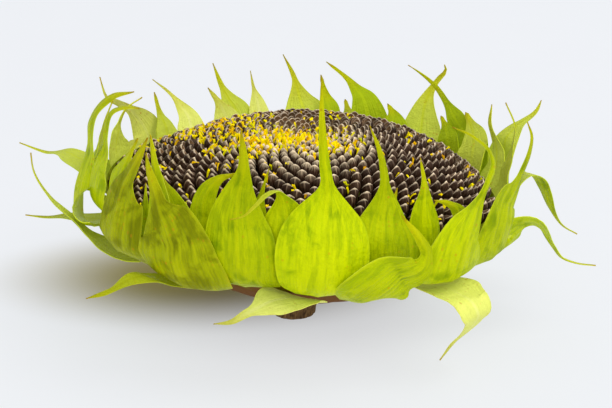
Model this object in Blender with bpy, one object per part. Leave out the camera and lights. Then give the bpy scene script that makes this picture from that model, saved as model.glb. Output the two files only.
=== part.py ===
"""Sunflower seed head cut with a short stub of stem and lying on it, seeds upward.

Metres, +Z up. The head is first laid out about its own upright axis, in millimetres, and each
place on it is given as (turn, out, up):
  turn  degrees round the axis, 0 at the front (-Y), 90 at the right (+X), 180 at the back
  out   distance from the axis
  up    height above the cut end of the stem
The whole head then leans over to the right by HEAD_TILT about the cut end, as it lies on a table.
"""

from dataclasses import dataclass

import bmesh
import bpy
import numpy as np

# Head
HEAD_TILT = 4.0          # degrees, the right side lower
DISC_RADIUS = 75.0       # the patch of seeds is about 150 mm across
RIM_UP = 53.0            # height of the edge of the seeds
DOME_RISE = 21.5         # the middle stands this much above the edge
DOME_POWER = 2.6         # how flat the dome is on top
DOME_LOPSIDED = 1.1      # the right-hand shoulder is fuller than the left one by this much
DOME_FULL_TURN = 105.0   # the turn of the fullest shoulder
CENTRE_DIP = 2.0         # the young seeds in the middle lie lower
SEED_DEPTH = 9.0         # length of a seed, so the thickness of the seed layer
GAP = 0.3                # clearance between neighbouring pieces
SEGMENTS = 48            # round the head
STUB_SEGMENTS = 40
SHARP_ANGLE = 40.0       # degrees; flatter edges are shaded smooth

# Stem stub: (radius, up)
STUB_PROFILE = [(8.0, 0.0), (8.8, 1.0), (8.8, 3.5), (9.8, 6.0)]
# Underside of the receptacle, from the stem out to the rim: (radius, up)
RECEPTACLE_UNDERSIDE = [
    (10.2, 6.3), (13.0, 8.8), (19.0, 11.8), (28.0, 15.6), (39.0, 20.4), (50.0, 26.0),
    (59.0, 31.6), (65.5, 37.0), (70.0, 43.0), (73.0, 48.0), (74.5, 52.0),
]

# Rings of the dome, from the edge inward: distance from the axis
DOME_TOP_RINGS = (74.6, 72.0, 66.0, 58.0, 50.0, 42.0, 33.0, 24.0, 15.0, 7.0)
SEED_FLOOR_RINGS = (72.7, 68.0, 60.0, 48.0, 34.0, 20.0, 8.0)
RECEPTACLE_FLOOR_RINGS = (73.0, 68.0, 60.0, 48.0, 34.0, 20.0, 8.0)
RIM_ROUNDING = 0.6       # the outermost ring of seeds lies this much below the dome

# Bracts
BRACT_THICKNESS = 1.3    # at the foot
TIP_THICKNESS = 0.8
TIP_WIDTH = 0.9
STATIONS = 12            # points along a bract
ACROSS = 5               # points across it
MEAN_OUT = 80.0          # bracts stand about this far from the axis, so 1 degree is about 1.4 mm
FOOT_SHARE = 0.78        # width of the foot, as a share of the widest width
FOOT_END = 0.22          # share of the length at which the full width is reached
TAIL_SHARE = 0.13        # width of the thin tail, as a share of the widest width
BLADE_POWER = 2.2        # how softly the blade runs into the tail

STEM_BROWN = (0.16, 0.10, 0.05)
RECEPTACLE_GREEN = (0.30, 0.30, 0.08)
SEED_BLACK = (0.05, 0.035, 0.03)
LAYER_GREENS = {
    "outer": (0.46, 0.56, 0.05),
    "middle": (0.42, 0.54, 0.05),
    "inner": (0.40, 0.50, 0.07),
    "hanging": (0.50, 0.56, 0.14),
}


@dataclass(frozen=True)
class Bract:
    """One bract: its widest width, its outline and the middle line from foot to tip."""

    name: str
    width: float
    neck: float     # share of the length at which the thin tail begins
    cup: float      # how much the edges lift toward the seeds, per mm
    roll_foot: float
    roll_tip: float
    line: list      # (turn, out, up)
    foot: float = FOOT_SHARE        # width of the foot, as a share of the widest width
    round_end: float = FOOT_END     # share of the length at which the full width is reached
    shoulder: float = 3.0           # the higher, the longer the blade stays broad before the neck
    tail: float = TAIL_SHARE        # width of the thin tail, as a share of the widest width


BRACTS = [
    # Front wall, left to right
    Bract("bract_middle_01", 27, 0.7, 0.004, 0, 0,
          [(-55, 75.5, 38), (-53, 83, 46), (-52.5, 83.5, 53), (-53, 81, 60.5), (-52.5, 79, 67),
           (-49.5, 78, 75),
           (-47, 76, 84.5)], foot=1.15, shoulder=5.0, tail=0.24),
    Bract("bract_inner_01", 15, 0.97, 0.006, 0, 0,
          [(-65, 75, 48), (-62, 76.6, 58), (-59.5, 77, 64), (-55, 76, 75), (-52.5, 75, 82)],
          shoulder=2.4, tail=0.08),
    Bract("bract_inner_02", 10, 0.97, 0.004, 0, 0,
          [(-46, 75, 47.5), (-46, 77, 55), (-46, 77, 62), (-47, 76, 68)], shoulder=2.4, tail=0.05),
    Bract("bract_middle_02", 14, 0.88, 0.004, 0, 0,
          [(-38, 77.2, 47.5), (-38, 80.2, 60), (-39, 80, 67.5), (-42, 78.5, 78.5), (-45, 77, 86.5)],
          shoulder=2.6, tail=0.16),
    Bract("bract_inner_03", 16, 0.96, 0.004, 0, 0,
          [(-32, 75, 47.5), (-35, 76.5, 60), (-37, 76.5, 65), (-42.5, 75, 73)], shoulder=3.6),
    Bract("bract_outer_01", 33, 0.73, 0.003, 0, 0,
          [(-29.5, 72, 37), (-28, 83, 42.5), (-29.5, 86, 49), (-30.5, 87, 54.5), (-32, 87, 60),
           (-34.5, 86, 64.5), (-37, 84, 69), (-40, 82, 73), (-43, 80, 76.5),
           (-45.5, 78, 80)], foot=0.6, round_end=0.25, shoulder=8.0, tail=0.16),
    Bract("bract_middle_03", 13, 0.98, 0.004, 0, 0,
          [(-25, 76.5, 45.5), (-25, 79, 58), (-25.5, 79.3, 65), (-25.5, 79, 70.5), (-21.5, 79, 79),
           (-17.5, 79, 81.5)],
          shoulder=3.6, tail=0.1),
    Bract("bract_outer_02", 27, 0.85, 0.003, -4, -4,
          [(-15, 72, 39.5), (-14.5, 82, 49), (-15, 84, 58.5), (-16, 83, 66.5), (-16, 82, 74),
           (-15.5, 80.5, 84), (-17, 79, 97)], foot=0.9, shoulder=3.8, tail=0.12),
    Bract("bract_inner_04", 11, 0.9, 0.004, 0, 0,
          [(-11.5, 75, 47.5), (-11.5, 77, 62), (-11.5, 77, 73),
           (-10, 76, 84)], shoulder=2.4, tail=0.08),
    Bract("bract_middle_04", 18, 0.61, 0.004, 0, 0,
          [(-3.5, 76.3, 46.5), (-4, 79, 58), (-4.5, 80, 68), (-5.5, 80.8, 75), (-7, 83, 79), (-9, 87, 78.5),
           (-11, 89, 75), (-13.5, 90, 71), (-16, 90, 69.5)], foot=0.6, shoulder=5.5, tail=0.12),
    Bract("bract_outer_03", 34, 0.6, 0.002, 0, 0,
          [(4.5, 72, 38.5), (4.5, 83.4, 47.5), (4.5, 84.5, 59), (4.5, 82.9, 71.5), (4.5, 80, 81.5),
           (3.5, 78, 89.5),
           (2.5, 76, 100.5), (1.5, 73, 116)], foot=0.42, round_end=0.3, shoulder=6.2, tail=0.12),
    Bract("bract_middle_05", 28, 0.69, 0.003, 0, 0,
          [(21, 74, 43), (19.5, 79.6, 53.5), (18.5, 82, 62.5), (18.5, 81.5, 75.5), (18, 81, 85),
           (16.5, 80, 93.5), (14, 78, 101.5)], shoulder=3.8, tail=0.11),
    Bract("bract_inner_05", 10, 0.9, 0.004, 0, 0,
          [(22, 75.8, 49), (22, 76.3, 60), (22.5, 76.7, 72), (23.5, 76, 78.5)], shoulder=2.4),
    Bract("bract_inner_06", 15, 0.88, 0.004, 0, 0,
          [(34, 75, 47.5), (32.5, 77, 60.5), (31, 78, 69.5), (30.5, 77.8, 80), (29.5, 76, 88.5)],
          shoulder=3.2, tail=0.09),
    Bract("bract_outer_04", 30, 0.7, 0.004, 0, 0,
          [(14, 74, 37.5), (17, 85.5, 46), (22, 88.5, 51), (27, 89.5, 55), (28, 88.5, 59),
           (26.5, 87.5, 63.5),
           (22, 85, 72)], foot=0.3, round_end=0.45, shoulder=5.0, tail=0.16),
    Bract("bract_inner_07", 9, 0.8, 0.004, 0, 0,
          [(48, 75, 47.5), (47, 77, 57), (43.5, 78, 66), (38, 79, 71.5),
           (33.5, 79, 73.5)], tail=0.25, shoulder=4.0),
    Bract("bract_outer_05", 31, 0.54, 0.003, 0, 0,
          [(42, 73, 40), (40, 82, 46.5), (39.5, 84, 53.5), (40.5, 84.5, 60.5), (43.5, 84, 66.5),
           (46.5, 83.5, 72.5), (49.5, 83, 78), (53, 81, 82.5), (54.5, 77, 86.5), (52.5, 73, 90),
           (44.5, 70, 95)],
          foot=0.6, round_end=0.25, shoulder=3.4, tail=0.1),
    # Hanging bracts at the front and the sides
    Bract("bract_hanging_01", 18, 0.82, 0.004, 0, 0,
          [(-38, 62, 30.5), (-38.5, 72, 33), (-38.5, 80, 36), (-38.5, 86, 39), (-39.5, 91, 39),
           (-41.5, 98, 35.5),
           (-46.5, 101, 30.5)], foot=0.9, shoulder=3.4, tail=0.12),
    Bract("bract_hanging_02", 20, 0.7, 0.004, 10, 0,
          [(6, 64, 31.8), (0.5, 69, 34.4), (-4, 74, 35.8), (-7.5, 78, 35.7), (-9.5, 81, 34.2),
           (-11.5, 82.5, 33), (-14.5, 83, 30.5),
           (-20, 83, 28.5)], foot=0.5, round_end=0.35, shoulder=4.6, tail=0.16),
    Bract("bract_hanging_03", 23, 0.6, 0.006, 0, 0,
          [(46, 66, 35), (44.5, 74, 36.5), (42.5, 83, 37.5), (42, 90, 37), (43.5, 91, 33),
           (46, 87, 26.5),
           (48.5, 81, 19.5), (48.5, 77, 14.5), (50, 70.5, 4.3)], foot=0.7, shoulder=3.4, tail=0.36),
    Bract("bract_hanging_04", 23, 0.95, 0.010, 0, 0,
          [(-58, 66, 33), (-62, 70, 33), (-65, 74, 33.5), (-68, 78, 34.8), (-71, 82.5, 37.5), (-74, 87, 41.5),
           (-78, 95.5, 48.5), (-81, 101.5, 57.5), (-82, 102.5, 63.5)], foot=0.45, shoulder=2.2, tail=0.1),
    Bract("bract_hanging_05", 16, 0.86, 0.010, 0, 0,
          [(-94.5, 64, 33), (-96, 79, 30), (-97, 92.5, 29.5), (-98, 101, 27.5), (-98, 109, 27.5)],
          shoulder=2.8),
    Bract("bract_hanging_06", 27, 0.7, 0.006, 0, 0,
          [(-100, 72, 40), (-101.5, 80, 45), (-103, 89.5, 50), (-105, 96.5, 51), (-108, 109, 48),
           (-108, 120, 50)],
          shoulder=2.8),
    Bract("bract_hanging_07", 25, 0.7, 0.008, 28, 10,
          [(74, 70, 35.5), (75, 77.5, 41), (76, 82, 45.5), (77, 84.5, 48.5), (78, 88.5, 50), (79, 92, 48),
           (80, 96, 42), (80, 100.5, 37), (80, 106, 35.5), (80, 113.5, 35.5)], foot=0.45, shoulder=4.2, tail=0.28),
    Bract("bract_hanging_08", 16, 0.86, 0.008, 14, 10,
          [(100.3, 77, 42), (100, 85, 52), (100.2, 87.5, 56), (100, 90, 58), (100, 93, 57),
           (100, 97, 51.5),
           (100, 101, 43.5), (100, 106, 37), (100, 113, 33)], foot=0.55, shoulder=2.8, tail=0.24),
    # Left wall
    Bract("bract_outer_06", 29, 0.69, 0.004, -8, -20,
          [(-76, 75.5, 37.5), (-80, 82.5, 40), (-83.5, 84, 45.5), (-85.5, 82.5, 56), (-85.5, 81.5, 64.5),
           (-85, 81, 71.5),
           (-83.5, 78.5, 80), (-81, 73.5, 86), (-76, 66, 90)], foot=1.35, shoulder=3.6,
          tail=0.2, round_end=0.35),
    Bract("bract_middle_06", 28, 0.7, 0.002, 0, 0,
          [(-67, 74, 42.5), (-71.5, 78.3, 49), (-75, 78.6, 56), (-77, 76, 68), (-77, 76, 75),
           (-75, 74, 82.5),
           (-72, 69.5, 85.5), (-68, 66, 86.5)], foot=1.3, shoulder=3.4, tail=0.16, round_end=0.4),
    Bract("bract_middle_07", 22, 0.78, 0.005, 0, 0,
          [(-95, 75, 45), (-96, 80.5, 52), (-96, 78.5, 64), (-96, 77.5, 70), (-96, 74.5, 79)],
          shoulder=4.0, tail=0.16, foot=1.2),
    Bract("bract_inner_08", 21, 0.66, 0.005, 0, 0,
          [(-106, 76, 48), (-107, 77.6, 60), (-112, 77, 69), (-118, 74, 73)], shoulder=4.0),
    # Right wall
    Bract("bract_middle_08", 24, 0.68, 0.005, 4, 10,
          [(61, 75, 41), (57.5, 81, 47), (57, 83, 54), (56.5, 84.5, 61), (57.5, 85, 67),
           (60.5, 85.5, 72),
           (62, 86.5, 77.5), (62.5, 88, 84.5), (62, 88.5, 91),
           (60.5, 87, 96.5)], shoulder=5.0, tail=0.18, foot=1.3),
    Bract("bract_inner_09", 15, 0.72, 0.005, 2, 30,
          [(96, 75, 47.5), (98, 79.5, 54), (99, 80, 59.5), (101, 82.5, 70.5), (103, 83.5, 75.5),
           (105, 79.5, 85)],
          shoulder=3.8, tail=0.22),
    Bract("bract_inner_10", 15, 0.76, 0.005, 0, 0,
          [(108, 77, 46.5), (110.5, 82.5, 57), (112.5, 83.8, 62), (116, 82, 72.5),
           (118, 84, 78.5)], tail=0.18, shoulder=3.8),
    # Back wall, right to left
    Bract("bract_outer_07", 22, 0.68, 0.006, 0, 0,
          [(111.5, 75, 38), (113.3, 83.5, 48.5), (114.7, 87.8, 57.5), (115.5, 91, 65), (116, 94.5, 68.5),
           (118, 106.5, 74),
           (120, 111.5, 77)], tail=0.18, shoulder=3.8),
    Bract("bract_middle_09", 22, 0.72, 0.005, 0, 0,
          [(121, 75, 42.5), (122, 81, 49.5), (125.5, 85, 58), (130, 86.5, 62), (133.5, 86.5, 65.5),
           (137, 88, 69),
           (143, 90, 75.5), (149.5, 91, 80), (152, 91, 81.5)], shoulder=3.1, tail=0.12),
    Bract("bract_inner_11", 17, 0.95, 0.005, 0, 0,
          [(116, 75, 48), (118.5, 77.6, 58), (121.5, 81, 62.5), (126, 84.3, 66), (130.5, 87, 69.5)], shoulder=2.6),
    Bract("bract_inner_12", 13, 0.95, 0.005, 0, 0,
          [(127, 75, 47.5), (130.5, 78, 59), (134, 81, 63), (137, 83, 66)], shoulder=2.6),
    Bract("bract_outer_08", 26, 0.94, 0.004, 0, 0,
          [(142, 72, 39), (143.5, 82, 48), (144.5, 86, 55), (145.5, 89, 61.5), (146, 91.5, 66.5),
           (146, 94, 70.5), (145, 97, 76), (143.5, 98.5, 81.5), (144, 98.5, 83)],
          shoulder=3.2, tail=0.09, foot=1.1),
    Bract("bract_inner_13", 16, 0.9, 0.005, 0, 0,
          [(150, 75, 47.5), (151, 78, 57.5), (152.5, 81, 62), (155, 83, 65.5)], shoulder=3.2),
    Bract("bract_middle_10", 24, 0.94, 0.005, 0, 0,
          [(160, 74, 43), (160, 80, 50), (160.5, 84, 55.5), (162, 87, 60.5), (164, 90, 64.5),
           (166.5, 93, 67),
           (168.5, 95, 69.5), (175, 98, 76)], shoulder=1.9, tail=0.06),
    Bract("bract_inner_14", 13, 0.95, 0.005, 0, 0,
          [(165, 75, 47.5), (165.5, 78, 53.5), (166.5, 81, 59), (168, 83, 64.5)], shoulder=2.6),
    Bract("bract_middle_11", 11, 0.96, 0.005, 0, 0,
          [(172, 74, 43), (172.3, 79.6, 49.5), (172.5, 83.5, 54.5), (172.8, 86.5, 59), (174, 89.5, 62.5),
           (175, 91, 66.5), (176, 92.5, 71.5)], shoulder=4.4, tail=0.14),
    Bract("bract_outer_09", 36, 0.91, 0.005, 0, 0,
          [(-180, 72, 39), (-180, 82, 45), (-180, 87, 51), (-180, 90, 56), (-179, 92.5, 59.5),
           (-178, 95, 64),
           (-177, 97.5, 68.5), (-174, 100, 77.5)], shoulder=3.9, tail=0.06),
    Bract("bract_inner_15", 10, 0.88, 0.005, 0, 0,
          [(-166, 75, 45), (-166.5, 79, 50), (-167, 83, 53.5), (-167, 87, 57.5), (-166, 94, 66),
           (-165.5, 96, 71)], shoulder=5.2, tail=0.13),
    Bract("bract_middle_12", 17, 0.85, 0.005, 0, 0,
          [(-159.5, 74, 42), (-160.5, 80, 47.5), (-160.5, 84, 51.5), (-160.5, 87, 56), (-159, 90, 60),
           (-157.5, 93, 65), (-155.5, 97, 74.5)], shoulder=5.4, tail=0.14),
    Bract("bract_inner_16", 15.5, 0.91, 0.005, 0, 0,
          [(-156, 75, 45), (-156.5, 78, 50), (-156.5, 82, 54), (-155.5, 85, 58.5),
           (-152, 88, 66.5)], shoulder=5.4, tail=0.14),
    Bract("bract_middle_13", 15, 0.89, 0.005, 0, 0,
          [(-143.5, 74, 42), (-145, 79.5, 46), (-145.5, 83, 50), (-145.5, 86, 55), (-144, 89, 59.5),
           (-142, 91.5, 64), (-137, 94, 71)], shoulder=5.2, tail=0.09),
    Bract("bract_inner_17", 13, 0.92, 0.005, 0, 0,
          [(-134, 75, 45.5), (-134.5, 78, 50.5), (-135, 81, 54.5), (-135, 84, 58),
           (-134, 87, 68)], shoulder=2.6),
    Bract("bract_outer_10", 28, 0.72, 0.006, 0, 0,
          [(-124, 72, 38.5), (-128.5, 80, 43), (-130.5, 84, 47), (-131, 86, 51), (-129, 86.5, 56.5),
           (-124.5, 86, 63), (-118, 85.5, 68.5), (-112.5, 86, 73), (-112.5, 89, 80.5)],
          shoulder=3.8, tail=0.12),
]


def material(name, colour, roughness):
    """Plain material with one colour."""
    made = bpy.data.materials.new(name)
    made.use_nodes = True
    shader = made.node_tree.nodes["Principled BSDF"]
    shader.inputs["Base Color"].default_value = (*colour, 1.0)
    shader.inputs["Roughness"].default_value = roughness
    return made


def dome_up(out, turn):
    """Height of the seed surface: flat-topped dome, fuller on one side, dipped in the middle."""
    share = out / DISC_RADIUS
    power = DOME_POWER + DOME_LOPSIDED * np.cos(np.radians(turn - DOME_FULL_TURN))
    dip = CENTRE_DIP * np.exp(-((share / 0.25) ** 2))
    return RIM_UP + DOME_RISE * (1.0 - share**power) - dip


def place(turn, out, up):
    """Upright (turn, out, up) of the head to leaning x, y, z in millimetres."""
    angle = np.radians(turn)
    x = out * np.sin(angle)
    y = -out * np.cos(angle)
    lean = np.radians(HEAD_TILT)
    along = x * np.cos(lean) + up * np.sin(lean)
    above = up * np.cos(lean) - x * np.sin(lean)
    return np.stack(np.broadcast_arrays(along, y, above), -1)


def add_solid(name, points, faces, look):
    """Adds one closed body; points in millimetres; faces are turned outward."""
    mesh = bpy.data.meshes.new(name)
    mesh.from_pydata((np.asarray(points) / 1000.0).tolist(), [], [list(face) for face in faces])
    work = bmesh.new()
    work.from_mesh(mesh)
    if work.calc_volume(signed=True) < 0.0:
        bmesh.ops.reverse_faces(work, faces=work.faces)
    work.to_mesh(mesh)
    work.free()
    mesh.shade_smooth()
    mesh.set_sharp_from_angle(angle=np.radians(SHARP_ANGLE))
    made = bpy.data.objects.new(name, mesh)
    made.data.materials.append(look)
    bpy.context.scene.collection.objects.link(made)
    return made


def lathe(rings, segments):
    """Faces and points of a body made of closed rings, with a middle point at each end.

    rings is a list of pairs (out, up) in order round the section, from the axis at one end to
    the axis at the other. up is a height, or a function of out and turn that gives it.
    """
    turns = np.arange(segments) * 360.0 / segments
    points = []
    for out, up in rings:
        heights = up(out, turns) if callable(up) else np.full(segments, up)
        points.append(place(turns, np.full(segments, out), heights))
    body = np.concatenate(points)
    first_middle = len(body)
    last_middle = first_middle + 1
    last = first_middle - segments
    faces = []
    for k in range(segments):
        after = (k + 1) % segments
        for start in range(0, last, segments):
            faces.append((start + k, start + after, start + segments + after, start + segments + k))
        faces.append((first_middle, after, k))
        faces.append((last_middle, last + k, last + after))
    middles = [body[:segments].mean(axis=0), body[-segments:].mean(axis=0)]
    return np.vstack([body, middles]), faces


def add_stub():
    """The stem, cut off just below the head."""
    points, faces = lathe(STUB_PROFILE, STUB_SEGMENTS)
    # The cut end is flat on the table although the stem leans: its ring, and its middle point
    points[:STUB_SEGMENTS, 2] = 0.0
    points[-2, 2] = 0.0
    return add_solid("stem_stub", points, faces, material("stem_stub", STEM_BROWN, 0.8))


def add_receptacle():
    """Spongy body under the seeds: a shallow cone below, the dome less the seeds' length above."""
    def floor_of_seeds(out, turns):
        return dome_up(out, turns) - SEED_DEPTH - GAP
    rings = [(4.0, RECEPTACLE_UNDERSIDE[0][1])]
    rings += RECEPTACLE_UNDERSIDE
    rings += [(out, floor_of_seeds) for out in RECEPTACLE_FLOOR_RINGS]
    points, faces = lathe(rings, SEGMENTS)
    return add_solid("receptacle", points, faces, material("receptacle", RECEPTACLE_GREEN, 0.8))


def add_seed_disc():
    """All seeds as one closed layer: the dome above and the same dome one seed length lower."""
    def bottom(out, turns):
        return dome_up(out, turns) - SEED_DEPTH
    def edge(out, turns):
        return dome_up(out, turns) - RIM_ROUNDING
    rings = [(out, bottom) for out in reversed(SEED_FLOOR_RINGS)]
    rings += [(DISC_RADIUS, edge)]
    rings += [(out, dome_up) for out in DOME_TOP_RINGS]
    points, faces = lathe(rings, SEGMENTS)
    return add_solid("seed_disc", points, faces, material("seed_disc", SEED_BLACK, 0.6))


def smooth_line(points, count):
    """Smooth curve through the points, evenly spaced by length: turn in degrees, out, up."""
    knots = np.array(points, dtype=float)
    flat = knots.copy()
    flat[:, 0] = np.radians(knots[:, 0]) * MEAN_OUT
    steps = np.linalg.norm(np.diff(flat, axis=0), axis=1)
    along = np.concatenate([[0.0], np.cumsum(steps)])
    slopes = np.gradient(knots, along, axis=0)
    fine = np.linspace(0.0, along[-1], 240)
    cell = np.clip(np.searchsorted(along, fine, side="right") - 1, 0, len(steps) - 1)
    width = steps[cell]
    t = ((fine - along[cell]) / width)[:, None]
    width = width[:, None]
    curve = ((2 * t**3 - 3 * t**2 + 1) * knots[cell] + (t**3 - 2 * t**2 + t) * width * slopes[cell]
             + (3 * t**2 - 2 * t**3) * knots[cell + 1] + (t**3 - t**2) * width * slopes[cell + 1])
    real = curve.copy()
    real[:, 0] = np.radians(curve[:, 0]) * curve[:, 1]
    lengths = np.concatenate([[0.0], np.cumsum(np.linalg.norm(np.diff(real, axis=0), axis=1))])
    wanted = np.linspace(0.0, lengths[-1], count)
    return np.stack([np.interp(wanted, lengths, curve[:, k]) for k in range(3)], -1)


def half_widths(bract, share):
    """Half width along the length: a rounded foot, a broad blade, then a thin tail from the neck on."""
    rounding = np.sin(np.clip(share / bract.round_end, 0.0, 1.0) * np.pi / 2)
    foot = bract.foot + (1.0 - bract.foot) * rounding
    narrowing = np.clip(share / bract.neck, 0.0, 1.0) ** bract.shoulder
    blade = (1.0 - bract.tail) * (1.0 - narrowing) ** BLADE_POWER
    past_neck = np.clip((share - bract.neck) / (1.0 - bract.neck), 0.0, 1.0)
    tail = bract.tail * (1.0 - past_neck) ** 0.8
    return np.maximum(0.5 * bract.width * foot * (blade + tail), 0.5 * TIP_WIDTH)


def bract_frame(bract, count):
    """Middle line with its direction, its crosswise direction and its outer normal at each station.

    Directions are in the local crosswise, outward and upward directions of the head.
    """
    line = smooth_line(bract.line, count)
    real = line.copy()
    real[:, 0] = np.radians(line[:, 0]) * MEAN_OUT
    along = np.gradient(real, axis=0)
    along /= np.linalg.norm(along, axis=1, keepdims=True)
    level = np.array([1.0, 0.0, 0.0])
    cross = level - along[:, :1] * along
    cross /= np.maximum(np.linalg.norm(cross, axis=1, keepdims=True), 0.05)
    normal = np.cross(along, cross)
    share = np.linspace(0.0, 1.0, count)
    roll = np.radians(bract.roll_foot + (bract.roll_tip - bract.roll_foot) * share**2)[:, None]
    turned_cross = cross * np.cos(roll) + normal * np.sin(roll)
    turned_normal = normal * np.cos(roll) - cross * np.sin(roll)
    return line, share, turned_cross, turned_normal


def bract_points(bract, across, lift):
    """Grid of points of one face of a bract; across runs from -1 to 1, lift is off the middle sheet."""
    line, share, cross, normal = bract_frame(bract, STATIONS)
    half = half_widths(bract, share)[:, None]
    side = half * across[None, :]
    thick = (BRACT_THICKNESS + (TIP_THICKNESS - BRACT_THICKNESS) * share)[:, None]
    off = lift * thick * (1.0 - 0.3 * across[None, :] ** 2) - bract.cup * side**2
    out = line[:, 1:2] + side * cross[:, 1:2] + off * normal[:, 1:2]
    turn = line[:, 0:1] + np.degrees((side * cross[:, 0:1] + off * normal[:, 0:1]) / line[:, 1:2])
    up = line[:, 2:3] + side * cross[:, 2:3] + off * normal[:, 2:3]
    return place(turn, out, up)


def add_bract(bract, look):
    """A thin sheet with an outer and an inner face, closed all round its edge."""
    across = np.linspace(-1.0, 1.0, ACROSS)
    outer = bract_points(bract, across, 0.5).reshape(-1, 3)
    inner = bract_points(bract, across, -0.5).reshape(-1, 3)
    shift = len(outer)
    faces = []
    for row in range(STATIONS - 1):
        for k in range(ACROSS - 1):
            a = row * ACROSS + k
            quad = (a, a + 1, a + ACROSS + 1, a + ACROSS)
            faces.append(quad)
            faces.append(tuple(shift + v for v in quad[::-1]))
        near = row * ACROSS
        far = near + ACROSS
        faces.append((near, far, shift + far, shift + near))
        faces.append((far + ACROSS - 1, far - 1, shift + far - 1, shift + far + ACROSS - 1))
    last = (STATIONS - 1) * ACROSS
    for k in range(ACROSS - 1):
        faces.append((k + 1, k, shift + k, shift + k + 1))
        faces.append((last + k, last + k + 1, shift + last + k + 1, shift + last + k))
    return add_solid(bract.name, np.vstack([outer, inner]), faces, look)


def stand_on_origin(objects):
    """Moves everything so that the middle of the outline, at table height, is at the origin."""
    corners = np.vstack([[v.co[:] for v in made.data.vertices] for made in objects])
    low = corners.min(axis=0)
    high = corners.max(axis=0)
    shift = np.array([(low[0] + high[0]) / 2, (low[1] + high[1]) / 2, low[2]])
    for made in objects:
        for vertex in made.data.vertices:
            vertex.co = np.array(vertex.co[:]) - shift
        made.data.update()


def main():
    """Clears the scene and builds every piece."""
    for old in list(bpy.data.objects):
        bpy.data.objects.remove(old, do_unlink=True)
    made = [add_stub(), add_receptacle(), add_seed_disc()]
    for bract in BRACTS:
        layer = bract.name.split("_")[1]
        made.append(add_bract(bract, material(bract.name, LAYER_GREENS[layer], 0.6)))
    stand_on_origin(made)


if __name__ == "__main__":
    main()
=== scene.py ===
"""Looks of the ripe sunflower seed head: seeds in spirals, dried florets, bracts and a cut stem.

Metres, +Z up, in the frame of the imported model. A place on the head is given as (turn, out, up):
degrees round the head's own axis with 0 at the front, millimetres from that axis, and millimetres
above the cut end of the stem. HeadSpace turns such places into metres in the frame.
"""

from __future__ import annotations

import logging
from collections.abc import Callable
from dataclasses import dataclass
from dataclasses import field
from enum import Enum

import bpy
import numpy as np
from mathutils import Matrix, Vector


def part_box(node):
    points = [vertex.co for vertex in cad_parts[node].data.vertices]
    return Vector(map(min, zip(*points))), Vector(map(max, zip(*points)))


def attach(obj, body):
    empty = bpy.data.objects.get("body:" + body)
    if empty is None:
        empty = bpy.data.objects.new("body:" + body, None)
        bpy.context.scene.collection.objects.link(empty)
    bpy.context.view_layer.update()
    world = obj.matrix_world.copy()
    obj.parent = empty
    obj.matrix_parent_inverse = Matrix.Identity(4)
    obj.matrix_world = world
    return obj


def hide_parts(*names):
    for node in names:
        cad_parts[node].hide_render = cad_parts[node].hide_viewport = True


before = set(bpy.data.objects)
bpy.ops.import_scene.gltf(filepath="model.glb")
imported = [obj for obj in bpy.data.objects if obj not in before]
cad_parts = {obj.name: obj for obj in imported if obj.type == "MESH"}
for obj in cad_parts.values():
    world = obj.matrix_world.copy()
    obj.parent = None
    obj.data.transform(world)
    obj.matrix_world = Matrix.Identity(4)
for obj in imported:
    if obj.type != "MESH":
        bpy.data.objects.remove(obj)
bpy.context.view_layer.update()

Array = np.ndarray
Colour = tuple[float, float, float]
Place = tuple[float, float, float]
Socket = bpy.types.NodeSocket

BODY = "root"
MM = 0.001

logging.basicConfig(level=logging.INFO, format="%(message)s")
log = logging.getLogger("seed_head")


def paint(red: float, green: float, blue: float) -> Colour:
    """Gives the linear colour of screen values, 0 to 255 each."""
    screen = np.array([red, green, blue]) / 255.0
    linear = np.where(screen <= 0.04045, screen / 12.92, ((screen + 0.055) / 1.055) ** 2.4)
    return tuple(float(value) for value in linear)


def smoothstep(value: Array, start: float, end: float) -> Array:
    """Rises from 0 at start to 1 at end along 3t^2 - 2t^3."""
    t = np.clip((value - start) / (end - start), 0.0, 1.0)
    return t * t * (3.0 - 2.0 * t)


def bell(value: Array, middle: float, width: float) -> Array:
    """Bell curve of height 1: e to the minus square of the distance from middle over width."""
    return np.exp(-(((value - middle) / width) ** 2))


def ripple(value: Array, rng: np.random.Generator, waves: int = 4, first: int = 1) -> Array:
    """Smooth random curve: a sum of sines, each with a random phase and 1/k of the strength.

    Args:
        value: where the curve is wanted, 0 to 1.
        rng: source of the phases.
        waves: number of sines.
        first: number of full turns of the first sine.

    Returns:
        The curve at each value, about -1 to 1.
    """
    total = np.zeros_like(value)
    for step in range(waves):
        strength = rng.uniform(0.5, 1.0) / (step + 1)
        total = total + strength * np.sin(2.0 * np.pi * ((first + step) * value + rng.uniform()))
    return total / 1.6


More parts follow.
